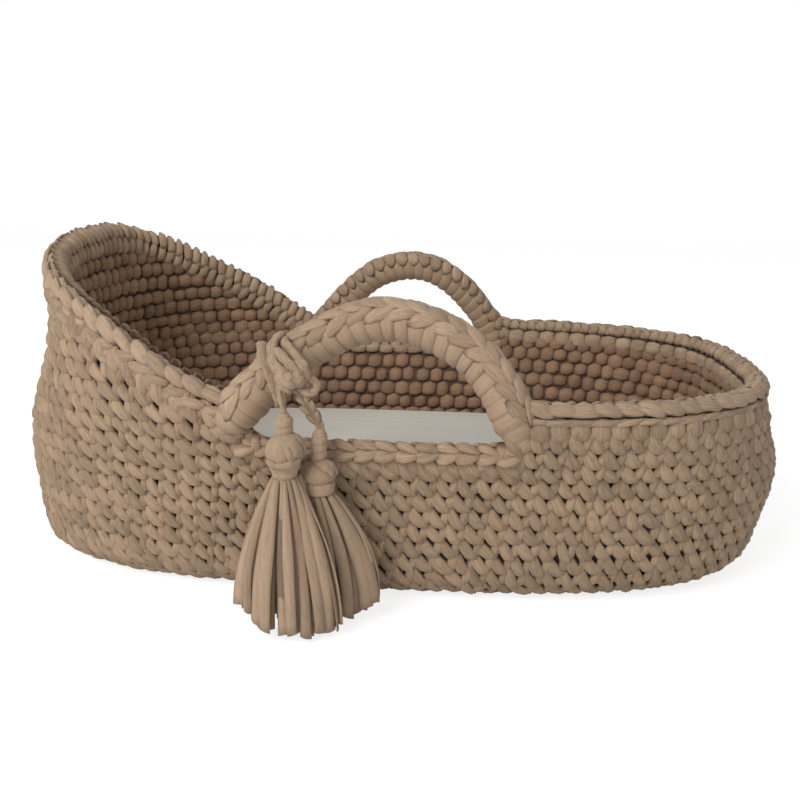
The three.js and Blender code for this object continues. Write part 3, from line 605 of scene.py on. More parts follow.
def in_slot(x, y, margin=11 * MM):
    """The hand slots' openings, with their corners filled where the handles' feet are sewn in."""
    first = np.where(np.asarray(y) < 0, SLOT_ENDS["near"][0], SLOT_ENDS["far"][0])
    last = np.where(np.asarray(y) < 0, SLOT_ENDS["near"][1], SLOT_ENDS["far"][1])
    return (x > first + margin) & (x < last - margin) & (np.abs(y) > LEAST_SLOT_Y)


def on_wall(frames, gap_at_foot, gap_elsewhere):
    """The stitches that end so far below the edge: under the hood's slope and outside the hand slots."""
    x, y = frames["place"][:, 0], frames["place"][:, 1]
    edge = np.where(in_slot(x, y), LIP_HEIGHT, hood_height(frames["angle"]))
    gap = np.where(x > FOOT_FROM_X, gap_at_foot, gap_elsewhere)
    return chosen(frames, frames["height"] < edge - gap)


top_way = BOTTOM_RADIUS * (math.pi / 2 - 1) + HOOD_HEIGHT
outside = on_wall(wall_rounds(FIRST_WAY, top_way, COLUMN_DRIFT, STITCH_DEPTH), 23 * MM, 8 * MM)
lean = np.interp(outside["place"][:, 0], [-360 * MM, 50 * MM, 300 * MM], [0.3, 0.14, 0.02])
low = outside["height"] < LOW_ROUNDS_TOP
for name, keep in (("wall_stitches_low", low), ("wall_stitches_high", ~low)):
    arrays = copies(outside_stitch, chosen(outside, keep), (1.03, 1, 0.84), 0.07, lean[keep], **STITCH_PAINTED_SHADE)
    lay(name, arrays, wall_yarn, "basket")


def seen_inside(frames, thickness):
    """The same places seen from inside the wall, with a stitch's length along the row."""
    return {
        "place": frames["place"] - frames["out"] * thickness,
        "right": frames["up"], "up": frames["right"], "out": -frames["out"],
    }


inside = on_wall(wall_rounds(FIRST_WAY + ROW_HEIGHT * 1.5, top_way, INSIDE_DRIFT), 19 * MM, 3 * MM)
inside = seen_inside(inside, WALL_THICKNESS - BUMP_SINK)
bumps = copies(inside_stitch, inside, 1, 0.085, **BUMP_PAINTED_SHADE)
lay("wall_bumps", bumps, inner_yarn_painted_shade, "basket")

# %% The wall's body behind the stitches
BODY_INSET = 7.6 * MM
BODY_RISE = 3 * MM


def skin(rings, closed):
    """Points and faces of a skin through rings of points. A closed one ends where it starts."""
    rings = np.asarray(rings)
    count, around = rings.shape[:2]
    faces = []
    for i in range(count if closed else count - 1):
        j = (i + 1) % count
        for k in range(around):
            m = (k + 1) % around
            faces.append([i * around + k, j * around + k, j * around + m, i * around + m])
    if not closed:
        faces.append(list(range(around)))
        faces.append([(count - 1) * around + k for k in range(around)][::-1])
    return rings.reshape(-1, 3), faces


def signed_volume(points, faces):
    """Positive where the faces of a closed skin point outwards."""
    total = 0.0
    for face in faces:
        a, b = points[face[0]], points[face[1:]]
        total += float(np.sum(np.cross(b[:-1], b[1:]) @ a))
    return total


def skin_arrays(rings, closed, tone=0.5, depth=1.0, along_scale=0.25, around_scale=1.0):
    """Arrays for a skin, with a UV that runs round each ring and along the rings."""
    points, faces = skin(rings, closed)
    if signed_volume(points, faces) < 0:
        faces = [face[::-1] for face in faces]
    around = np.asarray(rings).shape[1]
    uv = []
    for face in faces:
        ring, turn = np.divmod(np.array(face), around)
        if np.ptp(turn) == around - 1 and len(face) == 4:
            turn = np.where(turn == 0, around, turn)
        if closed and np.ptp(ring) > 1:
            ring = np.where(ring == 0, len(rings), ring)
        uv.append(np.stack([turn / around * around_scale, ring * along_scale], axis=-1))
    return {
        "points": points, "faces": faces, "uv": np.concatenate(uv),
        "tone": np.full(len(points), tone), "depth": np.full(len(points), depth),
    }


def wall_body():
    """A plain wall that closes the small gaps between the stitches outside and the bumps inside.
    It is painted dark, as painted shade: its low tone and depth draw it mostly in the gap colour.
    """
    rings = []
    for angle in np.linspace(-math.pi, math.pi, 361)[:-1]:
        x, y, _ = wall_point(0, WALL_HEIGHT, angle)
        edge = LIP_HEIGHT if in_slot(x, y, 0) else float(hood_height(angle))
        ways = np.linspace(0, edge + BODY_RISE + BOTTOM_RADIUS * (math.pi / 2 - 1), 14)
        frames = wall_frames(ways, np.full(len(ways), angle))
        outer = frames["place"] - frames["out"] * BODY_INSET
        inner = frames["place"] - frames["out"] * (WALL_THICKNESS - 4 * MM)
        rings.append(np.concatenate([outer, inner[::-1]]))
    return skin_arrays(rings, True, 0.3, 0.12, 0.5)


wall_core = lay("wall_body", wall_body(), wall_yarn, "basket")
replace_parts(wall_core, "side_wall", "head_wall")

# %% [markdown]
# ## Edges
# Every edge is finished with one more round: rows of slanting leaves outside and over the top, and upright
# ribs inside. They are laid along the edge line, each row leaning out by its own angle, so one function
# serves the rim, the sloping hood and the two slots' lips.

# %% Rows along a line


def frames_along(line, outward, pitch=None, count=None, start=0.5):
    """Even places on a line, with right along it, out as close to outward as it goes, and up across both."""
    way = np.concatenate([[0], np.cumsum(np.linalg.norm(np.diff(line, axis=0), axis=1))])
    count = count or max(int(round(way[-1] / pitch)), 1)
    targets = (np.arange(count) + start) / count * way[-1]

    def at(values, distance):
        return np.stack([np.interp(distance, way, values[:, i]) for i in range(3)], axis=-1)

    right = unit(at(line, targets + MM) - at(line, targets - MM))
    out = at(outward, targets)
    out = unit(out - right * np.sum(out * right, axis=1, keepdims=True))
    return {"place": at(line, targets), "right": right, "up": np.cross(out, right), "out": out}


def lengthwise(frames):
    """Turns frames a quarter, so that a shape's length runs along the line."""
    return {**frames, "right": -frames["up"], "up": frames["right"]}


def edge_line(angles, heights, inset, lean, reach_out, reach_up):
    """A line that leans out from the middle of the wall's top edge, and its outward directions."""
    step = 0.002
    middle = wall_point(inset, heights, angles)
    ahead = wall_point(inset, np.interp(angles + step, angles, heights), angles + step)
    behind = wall_point(inset, np.interp(angles - step, angles, heights), angles - step)
    right = unit(ahead - behind)
    above = unit(wall_point(inset, heights + MM, angles) - wall_point(inset, heights - MM, angles))
    side = unit(np.cross(right, above))
    top = np.cross(side, right)
    out = side * math.sin(lean) * reach_out + top * math.cos(lean) * reach_up
    return middle + out, unit(side * math.sin(lean) + top * math.cos(lean))


def handle_turn(x):
    """The angle round the oval, past the middle of a long side, at which the wall reaches x."""
    return math.asin((x / foot_reach(WALL_HEIGHT)) ** (OUTLINE_POWER / 2))


LINE_STEPS = 700
RIM_LIFT = 1.5 * MM
RIM_OVERLAP = 12 * MM
RIM_FAR_END = 114 * MM
RIM_RISE = 6 * MM
RIM_RISE_TOP = 112 * MM
RIM_RISE_LENGTH = 45 * MM
RIM_TURN = float(handle_turn(SLOT_HALF_LENGTH - RIM_OVERLAP))
hood_angles = np.linspace(math.pi / 2 + RIM_TURN, 1.5 * math.pi - RIM_TURN, LINE_STEPS)
foot_angles = np.linspace(-math.pi / 2 + RIM_TURN, math.pi / 2 - handle_turn(RIM_FAR_END), LINE_STEPS)
near_ends, far_ends = (
    [math.copysign(handle_turn(abs(x)), x) for x in SLOT_ENDS[side]] for side in ("near", "far")
)
near_angles = np.linspace(near_ends[0] - math.pi / 2, near_ends[1] - math.pi / 2, LINE_STEPS)
far_angles = np.linspace(math.pi / 2 - far_ends[1], math.pi / 2 - far_ends[0], LINE_STEPS)
BRAID_PAINTED_SHADE = {"dark_from": -2.4 * MM, "light_from": 0.6 * MM}


def edge_heights(angles, edge, lift):
    """Heights along an edge. The foot end's rim rises a little where it meets a handle."""
    if edge is not None:
        return np.full(len(angles), edge + lift)
    x = wall_point(0, WALL_HEIGHT, angles)[..., 0]
    near_handle = np.where(x > 0, np.clip(1 - (x - RIM_RISE_TOP) / RIM_RISE_LENGTH, 0, 1), 0)
    return hood_height(angles) + lift + RIM_RISE * near_handle ** 2


def row_line(angles, lean_degrees, reach_out, reach_up, lift, edge):
    """The line and outward directions of a row that follows an edge, its reaches in millimetres."""
    heights = edge_heights(angles, edge, lift)
    lean = math.radians(lean_degrees)
    return edge_line(angles, heights, WALL_THICKNESS / 2, lean, reach_out * MM, reach_up * MM)


rim_leaf = model_shape(
    "rim_leaf",
    [(0, -13.4, -2.6, 1.8, 1.3), (0, -8.8, 0.8, 5.0, 3.0), (0, -2.0, 2.2, 6.2, 4.0),
     (0, 4.6, 1.9, 5.8, 3.7), (0, 9.6, 0.2, 3.9, 2.6), (0, 13.4, -2.6, 1.4, 1.2)],
    sides=8,
)
rib = model_shape(
    "rib",
    [(0, -9.4, -2.4, 1.8, 1.4), (0.3, -5.4, 0.6, 4.2, 3.0), (0, 0.4, 1.4, 4.9, 3.8),
     (-0.3, 5.8, 0.5, 4.2, 3.0), (0, 9.4, -2.4, 1.6, 1.4)],
    sides=8,
)
handle_leaf = model_shape(
    "handle_leaf",
    [(0, -16.4, -3.0, 1.6, 1.2), (0, -11.0, -0.2, 5.0, 2.4), (0, -3.6, 1.2, 6.6, 3.3),
     (0, 4.6, 1.0, 6.2, 3.1), (0, 11.4, -0.6, 3.8, 2.1), (0, 16.4, -3.4, 1.0, 1.0)],
    sides=8,
)
chain_leaf_rings = [
    (5.0, -13.2, -2.8, 1.8, 1.3), (6.4, -8.8, 0.6, 3.8, 2.5), (6.0, -3.0, 2.2, 4.8, 3.5),
    (4.4, 3.0, 2.3, 4.5, 3.4), (2.5, 8.8, 1.0, 3.2, 2.6), (1.0, 13.6, -2.0, 1.2, 1.2),
]
mirrored_rings = [(-x, *others) for x, *others in chain_leaf_rings]
chain_pair = model_shape("chain_pair", chain_leaf_rings, mirrored_rings, sides=7)


def edge_row(
    shape, angles, pitch, lean_degrees, reach_out, reach_up, turn=0.0, size=1, upright=False, lift=RIM_LIFT,
    uneven=0.06, edge=None,
):
    """Copies of a shape in a row along an edge."""
    line, outward = row_line(angles, lean_degrees, reach_out, reach_up, lift, edge)
    frames = frames_along(line, outward, pitch * MM)
    if not upright:
        frames = lengthwise(frames)
    return copies(shape, frames, size, uneven, turn=turn, **BRAID_PAINTED_SHADE)


def rings_round(line, across, outward, wide, deep, sides=8):
    """A ring of points round each place on a line. Its two half widths may change along the line."""
    turns = np.arange(sides) / sides * 2 * math.pi
    wide, deep = np.broadcast_to(wide, len(line)), np.broadcast_to(deep, len(line))
    return [
        place + np.outer(np.cos(turns) * w, a) + np.outer(np.sin(turns) * d, o)
        for place, a, o, w, d in zip(line, across, outward, wide, deep)
    ]


def edge_strand(angles, lean_degrees, reach_out, reach_up, wide, deep, lift=RIM_LIFT, edge=None, sides=8):
    """A continuous strand along an edge, wide across and deep outwards."""
    line, outward = row_line(angles, lean_degrees, reach_out, reach_up, lift, edge)
    frames = frames_along(line, outward, 4 * MM)
    wave = MM * (1 + 0.07 * np.sin(np.arange(len(frames["place"])) * 1.45 + lean_degrees))
    rings = rings_round(frames["place"], frames["up"], frames["out"], wide * wave, deep * wave, sides)
    return skin_arrays([ring[::-1] for ring in rings], False, 0.5, 1.0, 0.4)


# %% The rim and the hood's edge


def rim_middle(angles):
    """The plain strand that fills the braid, between its rows of leaves and ribs."""
    return edge_strand(angles, 0, 0, 0, 9, 5.2, sides=10)


def outer_leaves(angles, turn, uneven):
    """The two rows of slanting leaves outside and over the top."""
    return together(
        edge_row(rim_leaf, angles, 20, 62, 8.4, 5.0, turn=turn, size=(0.98, 1.24, 0.74), uneven=uneven),
        edge_row(rim_leaf, angles, 20, 12, 7, 4.2, turn=0.8 * turn, size=(0.84, 1.2, 0.72), uneven=uneven),
    )


rim_head = lay("rim_braid_hood", together(
    rim_middle(hood_angles),
    outer_leaves(hood_angles, -0.26, 0.08),
    edge_row(
        rim_leaf, hood_angles, 20, 94, 7.8, 12, turn=0.3, size=(0.9, 1.16, 0.74), uneven=0.08, lift=-8.5 * MM,
    ),
    edge_row(rib, hood_angles, 12, -62, 8.5, 4.6, turn=0.14, size=(1.16, 1.3, 1), upright=True),
    edge_row(
        rib, hood_angles, 12, -90, 9.2, 0, turn=-0.12, size=(1.16, 1.3, 1), upright=True,
        lift=RIM_LIFT - 14 * MM,
    ),
), edge_yarn, "basket")
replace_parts(rim_head, "rim_braid_head")
rim_foot = lay("rim_braid_foot_end", together(
    rim_middle(foot_angles),
    outer_leaves(foot_angles, -0.2, 0.06),
    edge_row(rib, foot_angles, 11.5, -50, 7.6, 4.4, turn=0.42, size=(1.05, 0.8, 0.9), upright=True),
    edge_row(inside_stitch, foot_angles, 20, -90, 8.0, 0, size=(0.98, 1.12, 0.8), uneven=0.04, lift=-12 * MM),
    edge_strand(foot_angles, 96, 7.8, 0, 3.6, 2.8, lift=-6.5 * MM),
    edge_row(rim_leaf, foot_angles, 20, 92, 8.2, 0, turn=0.16, size=(0.44, 1.16, 0.6), lift=-6.2 * MM),
), edge_yarn, "basket")
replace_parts(rim_foot, "rim_braid_foot")

# %% A round of stitches that follows each edge
hem_stitch = model_shape(
    "hem_stitch",
    [(-1.4, 13.0, -4.4, 4.6, 1.4), (-1.2, 8.6, -0.6, 7.8, 3.4), (-0.5, 1.6, 1.0, 9.0, 4.4),
     (0.3, -5.4, 1.0, 8.2, 4.2), (0.8, -10.8, -2.0, 4.4, 2.2)],
    sides=9,
)


def edge_stitches(angles, below, edge=None, size=1.0, shape=outside_stitch):
    """Outside stitches hung along an edge, which hide where the level rounds end under a slope."""
    heights = (hood_height(angles) if edge is None else np.full(len(angles), edge)) - below
    line = wall_point(0, heights, angles)
    above = unit(wall_point(0, heights + MM, angles) - wall_point(0, heights - MM, angles))
    outward = np.cross(unit(np.gradient(line, axis=0)), above)
    frames = frames_along(line - outward * STITCH_DEPTH, outward, STITCH_WIDTH)
    return copies(shape, frames, size, 0.06, 0.1, **STITCH_PAINTED_SHADE)


trim = together(
    edge_stitches(hood_angles, 15 * MM, size=(1.05, 1.05, 0.9)),
    edge_stitches(foot_angles, 15.5 * MM, size=(1.04, 1.1, 0.86), shape=hem_stitch),
    edge_stitches(near_angles, 12 * MM, LIP_HEIGHT, (1, 1, 0.86)),
    edge_stitches(far_angles, 12 * MM, LIP_HEIGHT, (1, 1, 0.86)),
)
lay("edge_stitches", trim, wall_yarn, "basket")

# %% The lips of the hand slots
FAR_LIP_LIFT = 8.5 * MM
CORNER_LEAVES_X = (-108 * MM, -129 * MM)
CORNER_LEAVES_LIFT = (4 * MM, 17 * MM)


def lip(angles, edge):
    """The braid on a slot's lower edge: stitches inside, pairs of leaves outside and ribs between them."""
    return together(
        edge_strand(angles, 0, 0, 0, 9.5, 5, edge=edge, sides=10),
        edge_row(inside_stitch, angles, 19, -100, 9.5, 14, size=(0.6, 1.1, 0.8), edge=edge),
        edge_row(chain_pair, angles, 18, 56, 6.6, 4.8, size=(0.94, 1, 0.84), edge=edge),
        edge_row(rib, angles, 14, -48, 7.6, 4.6, turn=0.3, size=(1.25, 0.84, 0.9), upright=True, edge=edge),
    )


def corner_leaves():
    """Leaves that climb from the near lip to the handle's foot at the head end, where a gap would show."""
    steps = 40
    x = np.linspace(*CORNER_LEAVES_X, steps)
    angles = -math.pi / 2 - np.array([handle_turn(-value) for value in x])
    heights = LIP_HEIGHT + np.linspace(*CORNER_LEAVES_LIFT, steps)
    line = wall_point(WALL_THICKNESS / 2, heights, angles)
    outward = np.column_stack([np.zeros(steps), -np.ones(steps), np.zeros(steps)])
    frames = lengthwise(frames_along(line, outward, 9 * MM))
    return copies(rim_leaf, frames, (1.0, 0.85, 1.1), 0.06, **BRAID_PAINTED_SHADE)


for side, angles, edge in (("near", near_angles, LIP_HEIGHT), ("far", far_angles, LIP_HEIGHT + FAR_LIP_LIFT)):
    arrays = together(lip(angles, edge), corner_leaves()) if side == "near" else lip(angles, edge)
    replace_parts(lay(f"slot_lip_{side}", arrays, edge_yarn, "basket"), f"slot_braid_{side}")

# %% [markdown]
# ## Handles
# A handle is a rope bent in an arch that leans in over the basket. Flat yarn is wound round it from foot to
# foot, and rows of crochet leaves and ribs cover its upper outer side. Every place is worked out in the near
# handle's plane, and for the far one it is turned half round. Each handle has an arch of its own.

# %% The arch
HINGE_OUT = 213.1134 * MM
HINGE_HEIGHT = 186.7 * MM
HANDLE_LEAN = math.radians(14)
ROPE_RADIUS = 11.5 * MM
FOOT_SINK = 11 * MM
FOOT_SINK_FROM = 40 * MM
sides_of = {"near": 1, "far": -1}
UP = np.array((0, 0, 1.0))


def smooth_line(points, steps):
    """A smooth line through listed points."""
    p = np.array(points, float)
    p = np.vstack([2 * p[0] - p[1], p, 2 * p[-1] - p[-2]])
    t = np.linspace(0, len(p) - 3, steps)
    i = np.minimum(t.astype(int), len(p) - 4)
    t = (t - i)[:, None]
    a, b, c, d = p[i], p[i + 1], p[i + 2], p[i + 3]
    bend, twist = 2 * a - 5 * b + 4 * c - d, 3 * b - a - 3 * c + d
    return 0.5 * (2 * b + (c - a) * t + bend * t * t + twist * t ** 3)


# The rope's middle line in each handle's own plane, as (along, up) in millimetres. Both handles have slumped
# towards the head end, so the foot there stands further out.
arch_shapes = {
    1: [(-157, -15), (-146, -4), (-134, 8), (-122, 20), (-109, 33), (-88, 53), (-63, 70), (-33, 85.5),
        (-2, 92), (30, 87), (56, 76), (80, 59), (99, 36), (108, 21), (116, 5), (122, -8), (129, -21)],
    -1: [(-108, -17), (-107.5, -2), (-101, 15), (-91, 31), (-81, 45), (-65, 63), (-46, 79), (-25, 90),
         (0, 94.5), (27, 90), (50, 79.5), (72, 61), (91, 42), (106, 24), (119, 6), (121, -5), (121, -17)],
}


def even_line(points):
    """The arch in 400 even steps, in metres, and its length."""
    line = smooth_line(points, 600) * MM
    way = np.concatenate([[0], np.cumsum(np.linalg.norm(np.diff(line, axis=0), axis=1))])
    even = np.linspace(0, way[-1], 400)
    return np.stack([np.interp(even, way, line[:, i]) for i in range(2)], axis=-1), float(way[-1])


arches = {side: even_line(points) for side, points in arch_shapes.items()}


def in_handle(side, along, up, out=0.0):
    """From a place in a handle's plane to the basket's frame."""
    along, up, out = np.broadcast_arrays(along, up, out)
    sin, cos = math.sin(HANDLE_LEAN), math.cos(HANDLE_LEAN)
    place = np.stack([
        along, -HINGE_OUT + up * sin - out * cos, HINGE_HEIGHT + up * cos + out * sin,
    ], axis=-1)
    return place * (side, side, 1)


def foot_sink(side, share):
    """How far the near handle's ends sink into the wall."""
    from_end = np.minimum(share, 1 - share) * arches[side][1]
    return FOOT_SINK * np.clip(1 - from_end / FOOT_SINK_FROM, 0, 1) * (side == 1)


def round_rope(side, share, turn, radius):
    """A point round the rope at a share of its length, and the direction from the rope's middle to it."""
    line, _ = arches[side]
    step = np.clip(share, 0, 1) * (len(line) - 1)
    index = np.arange(len(line))
    middle = np.stack([np.interp(step, index, line[:, i]) for i in range(2)], axis=-1)
    sink = foot_sink(side, share)
    tangent = np.gradient(line, axis=0)
    tangent = unit(np.stack([np.interp(step, index, tangent[:, i]) for i in range(2)], axis=-1))
    away = np.stack([-tangent[..., 1], tangent[..., 0]], axis=-1)
    flat = away * (np.cos(turn) * radius)[..., None]
    out = np.sin(turn) * radius - sink
    place = in_handle(side, middle[..., 0] + flat[..., 0], middle[..., 1] + flat[..., 1], out)
    return place, unit(place - in_handle(side, middle[..., 0], middle[..., 1], -sink))


for side_name, side in sides_of.items():
    print("the", side_name, "handle's rope is", round(arches[side][1], 3), "m from foot to foot")

# %% Rope and winding
WIND_TURNS = 28
WIND_STEPS = 30
WIND_THICKNESS = 3.2 * MM
WINDING_LIFT = 2.8 * MM
FAR_FOOT_SWELL = 4.5 * MM
UNDER_SWELLS = {1: 3.0 * MM, -1: -0.8 * MM}
head_foot_swell = smooth_through(
    [0, 10 * MM, 26 * MM, 44 * MM, 64 * MM], [-9 * MM, -4.5 * MM, 1.6 * MM, 2.2 * MM, 0],
)
other_foot_swell = smooth_through(
    [0, 12 * MM, 30 * MM, 46 * MM, 64 * MM], [-9 * MM, -5 * MM, 1 * MM, 1 * MM, 0],
)


def foot_swell(side, share):
    """The winding is thicker near both feet, and the near handle's ends narrow into the wall."""
    if side == 1:
        length = arches[side][1]
        return head_foot_swell(share * length) + other_foot_swell((1 - share) * length)
    from_end = np.minimum(share, 1 - share) * arches[side][1]
    return FAR_FOOT_SWELL * (1 - np.clip((from_end - 10 * MM) / (38 * MM), 0, 1)) ** 1.5


def under_swell(side, turns):
    """The near handle's winding bulges on the underside, below the leaves, and the far one's draws in."""
    return UNDER_SWELLS[side] * (0.5 - 0.5 * np.cos(turns)) ** 1.5


def rope_core(side):
    """The rope itself, which hardly shows under its winding."""
    sides = 14
    turns = np.arange(sides) / sides * 2 * math.pi
    rings = []
    for share in np.linspace(0.004, 0.996, 120):
        radius = ROPE_RADIUS + 1.5 * MM + foot_swell(side, share)
        ring, _ = round_rope(side, np.full(sides, share), turns, radius + under_swell(side, turns))
        rings.append(ring[::-1])
    # A low tone and a depth of a half draw the rope half towards the dark gap colour: painted shade under the
    # winding.
    return skin_arrays(rings, False, 0.3, 0.5, 0.2)


def winding(side):
    """One flat strip wound from foot to foot. Each turn's edge lies on the turn before it."""
    count = WIND_TURNS * WIND_STEPS
    pitch = 1 / WIND_TURNS
    shares = np.linspace(-0.2 * pitch, 1 + 0.2 * pitch, count)
    turns = np.arange(count) / WIND_STEPS * 2 * math.pi
    section = [(-0.62, -0.3), (-0.5, 0.2), (-0.25, 0.62), (0.05, 0.86), (0.35, 0.92), (0.6, 0.62),
               (0.68, 0.1), (0.3, -0.5), (-0.3, -0.6)]
    wobble = random.normal(0, 1, (WIND_TURNS + 2, 3))
    at_turn = np.arange(count) / WIND_STEPS
    broader, shifted, raised = (np.interp(at_turn, np.arange(len(wobble)), values) for values in wobble.T)
    rings = []
    for across, high in section:
        width = across * (1 + 0.1 * broader) + 0.05 * shifted
        share = shares + width * pitch
        crease = 0.05 * np.sin(turns * 3.1 + raised * 2)
        radius = ROPE_RADIUS + WINDING_LIFT + under_swell(side, turns) + foot_swell(side, share)
        radius = radius + WIND_THICKNESS * (high + crease + 0.08 * raised)
        place, _ = round_rope(side, share, turns, radius)
        rings.append(place)
    rings = np.stack(rings, axis=1)
    return skin_arrays(rings, False, 0.5, 1.0, 0.22)


# %% Leaves over the top of a handle
LEAF_PITCH = 19.5 * MM
RIB_PITCH = 15 * MM
LEAF_PAINTED_SHADE = {"dark_from": -3.0 * MM, "light_from": -0.2 * MM}


def handle_row(shape, side, degrees, radius, pitch, turn, size, first, last, upright=False, start=0.5):
    """Copies of a shape in a row along a handle, so far round its rope, between two shares of its length."""
    shares = np.linspace(first, last, 300)
    angles = np.full(len(shares), math.radians(degrees))
    reach = radius * MM + foot_swell(side, shares) * 0.7
    line, outward = round_rope(side, shares, angles, reach)
    frames = frames_along(line, outward, pitch, start=start)
    if not upright:
        frames = lengthwise(frames)
    return copies(shape, frames, size, 0.06, turn=turn, **LEAF_PAINTED_SHADE)


def handle_cover(side):
    """Two rows of slanting leaves outside, a third along the top and a row of ribs beside it."""
    first, last = (0.07, 0.93) if side == 1 else (0.04, 0.96)
    leaf_size, top_size = (1.06, 1.04, 0.68), (0.8, 1, 0.72)
    return together(
        handle_row(handle_leaf, side, 74, 16.6, LEAF_PITCH, 0.4, leaf_size, first, last),
        handle_row(handle_leaf, side, 40, 17.4, LEAF_PITCH, -0.4, leaf_size, first, last, start=0.56),
        handle_row(
            handle_leaf, side, 12, 17.0, LEAF_PITCH, -0.2, top_size, first + 0.07, last - 0.03, start=0.3,
        ),
        handle_row(rib, side, -26, 16.4, RIB_PITCH, 0.2, (1.5, 1.2, 0.86), first, last, upright=True),
    )


def ride_handle(piece):
    """Bakes the piece's transform into its points."""
    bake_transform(piece)


for side_name, side in sides_of.items():
    core = lay(f"rope_{side_name}", rope_core(side), rope_cotton, None)
    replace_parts(core, f"handle_core_{side_name}")
    wound = lay(f"winding_{side_name}", winding(side), winding_yarn, None)
    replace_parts(wound, f"handle_wrap_{side_name}")
    cover = lay(f"leaves_{side_name}", handle_cover(side), edge_yarn, None)
    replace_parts(cover, f"handle_braid_{side_name}")
    for piece in (core, wound, cover):
        ride_handle(piece)

# %% [markdown]
# ## The tie and the two tassels
# A length of the same yarn is looped round the near handle and knotted. Its two tails each end in a tassel: a
# wound sleeve, a ball of yarn, a band and a skirt of cut strips. Strands are made as a section carried along
# a smooth line, because the line can be given as listed points and the section keeps its width.

# %% Strands
TOWARDS_VIEWER = (0, -1, 0)


def carried_frames(line, first_front=TOWARDS_VIEWER):
    """Front and side directions that turn as little as they can along a line."""
    ahead = unit(np.gradient(line, axis=0))
    front = np.array(first_front, float)
    fronts = []
    for direction in ahead:
        front = front - direction * np.dot(front, direction)
        front = front / np.linalg.norm(front)
        fronts.append(front)
    fronts = np.array(fronts)
    return fronts, np.cross(ahead, fronts)


def strand(points, wide, deep, steps, twist=0.0, ends=0.45, first_front=TOWARDS_VIEWER):
    """A strand wide and deep in millimetres, thinner at its ends, that may twist as it goes."""
    line = smooth_line(points, steps)
    front, side = carried_frames(line, first_front)
    share = np.linspace(0, 1, steps)
    swell = ends + (1 - ends) * np.clip(np.sin(np.pi * share) * 2.2, 0, 1)
    swell = swell * (1 + 0.09 * np.sin(np.arange(steps) * 0.95 + wide))
    spin = (twist * 2 * math.pi * share)[:, None]
    across = side * np.cos(spin) + front * np.sin(spin)
    outward = front * np.cos(spin) - side * np.sin(spin)
    rings = rings_round(line, across, outward, wide * swell * MM, deep * swell * MM)
    return skin_arrays(rings, False, 0.5, 1.0, 0.3)


# %% The tie


def on_near(*points):
    """Places in the near handle's plane, as (along, up, out) in millimetres."""
    return [in_handle(1, *(np.array(point) * MM)) for point in points]


tie = lay("tassel_knot", together(
    strand(on_near((-84, 26, -6), (-93, 34, -20), (-107, 55, -17), (-112, 65, -3), (-110, 65, 10),
                   (-106.5, 54, 22), (-99, 40.5, 27), (-93.5, 28.5, 27), (-91, 17.5, 24), (-91, 13, 20)),
           5.6, 3.2, 52, ends=0.8),
    strand(on_near((-97, 36, 27), (-94.5, 26, 30), (-90.5, 17, 29), (-87.5, 15, 26)),
           3.6, 2.4, 18, twist=0.3),
    strand(on_near((-76, 34, -6), (-80, 46, -21), (-90, 66, -16), (-95, 75, -2), (-95.5, 73.5, 11),
                   (-99, 65, 21), (-97, 55, 31), (-93, 47.5, 37), (-87, 43, 40), (-80, 41, 38)),
           5.4, 3.6, 52, ends=0.8),
    strand(on_near((-80, 71, 0), (-87.5, 70, 13), (-87, 67, 25), (-82.5, 63, 31), (-75, 55.5, 36),
                   (-68.5, 48.5, 37), (-66.5, 42, 32)),
           4.8, 3.6, 36),
    strand(on_near((-95, 61, 28), (-89, 57.5, 36.5), (-82, 51, 41), (-75.5, 44.5, 41.5), (-70.5, 38.5, 38),
                   (-70, 32, 33)),
           4.8, 3.8, 34),
    strand(on_near((-92, 43, 33), (-85.5, 37.5, 40), (-79, 35, 42), (-73, 36.5, 40), (-69, 42, 34)),
           8.0, 5.8, 26),
    strand(on_near((-77, 50, 35), (-71, 46.5, 38), (-66.8, 41.5, 36), (-69, 36, 33)), 5.4, 4.4, 20),
    strand(on_near((-88, 42, 34), (-87.5, 34, 38), (-83, 28.5, 39), (-77, 28, 37)), 5.0, 4.4, 20),
    strand(on_near((-74, 33, 35), (-67.5, 36.5, 33), (-61.8, 36.3, 31), (-57.8, 32.5, 30), (-58.5, 27.5, 31),
                   (-62.5, 24.5, 33), (-68, 26, 34), (-73, 30, 34)),
           3.9, 3.3, 40, ends=0.7),
), tassel_yarn, "near_handle")
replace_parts(tie, "tassel_tie")

# %% The two tails
CORD_SOLID_RADIUS = 3 * MM
TAIL_TURN = 2.2
CHAIN_PAINTED_SHADE = {"dark_from": -2.4 * MM, "light_from": 0.5 * MM}
TAILS = {
    "left": {"top": (-88.75, -238.93, 234.77), "foot": (-83.05, -253.02, 200.98), "diameter": 6.1},
    "right": {"top": (-77.88, -236.29, 234.76), "foot": (-55.05, -235.52, 181.98), "diameter": 9.4},
}


def tail_line(side, steps):
    top, foot = (np.array(TAILS[side][key]) * MM for key in ("top", "foot"))
    bow = np.array((0, -CORD_SOLID_RADIUS / 2, 0))
    return smooth_line([top, (top + foot) / 2 + bow, foot + UP * 2 * CORD_SOLID_RADIUS, foot], steps)


def line_length(line):
    return float(np.linalg.norm(np.diff(line, axis=0), axis=1).sum())


def tail_core(line, radius):
    """A plain round core for a tail, so that no gap shows between its strands."""
    front, side = carried_frames(line)
    # A low tone and a depth of 0.7 draw the core partly in the dark gap colour: painted shade between the
    # strands.
    return skin_arrays(rings_round(line, side, front, radius, radius), False, 0.4, 0.7, 0.3)


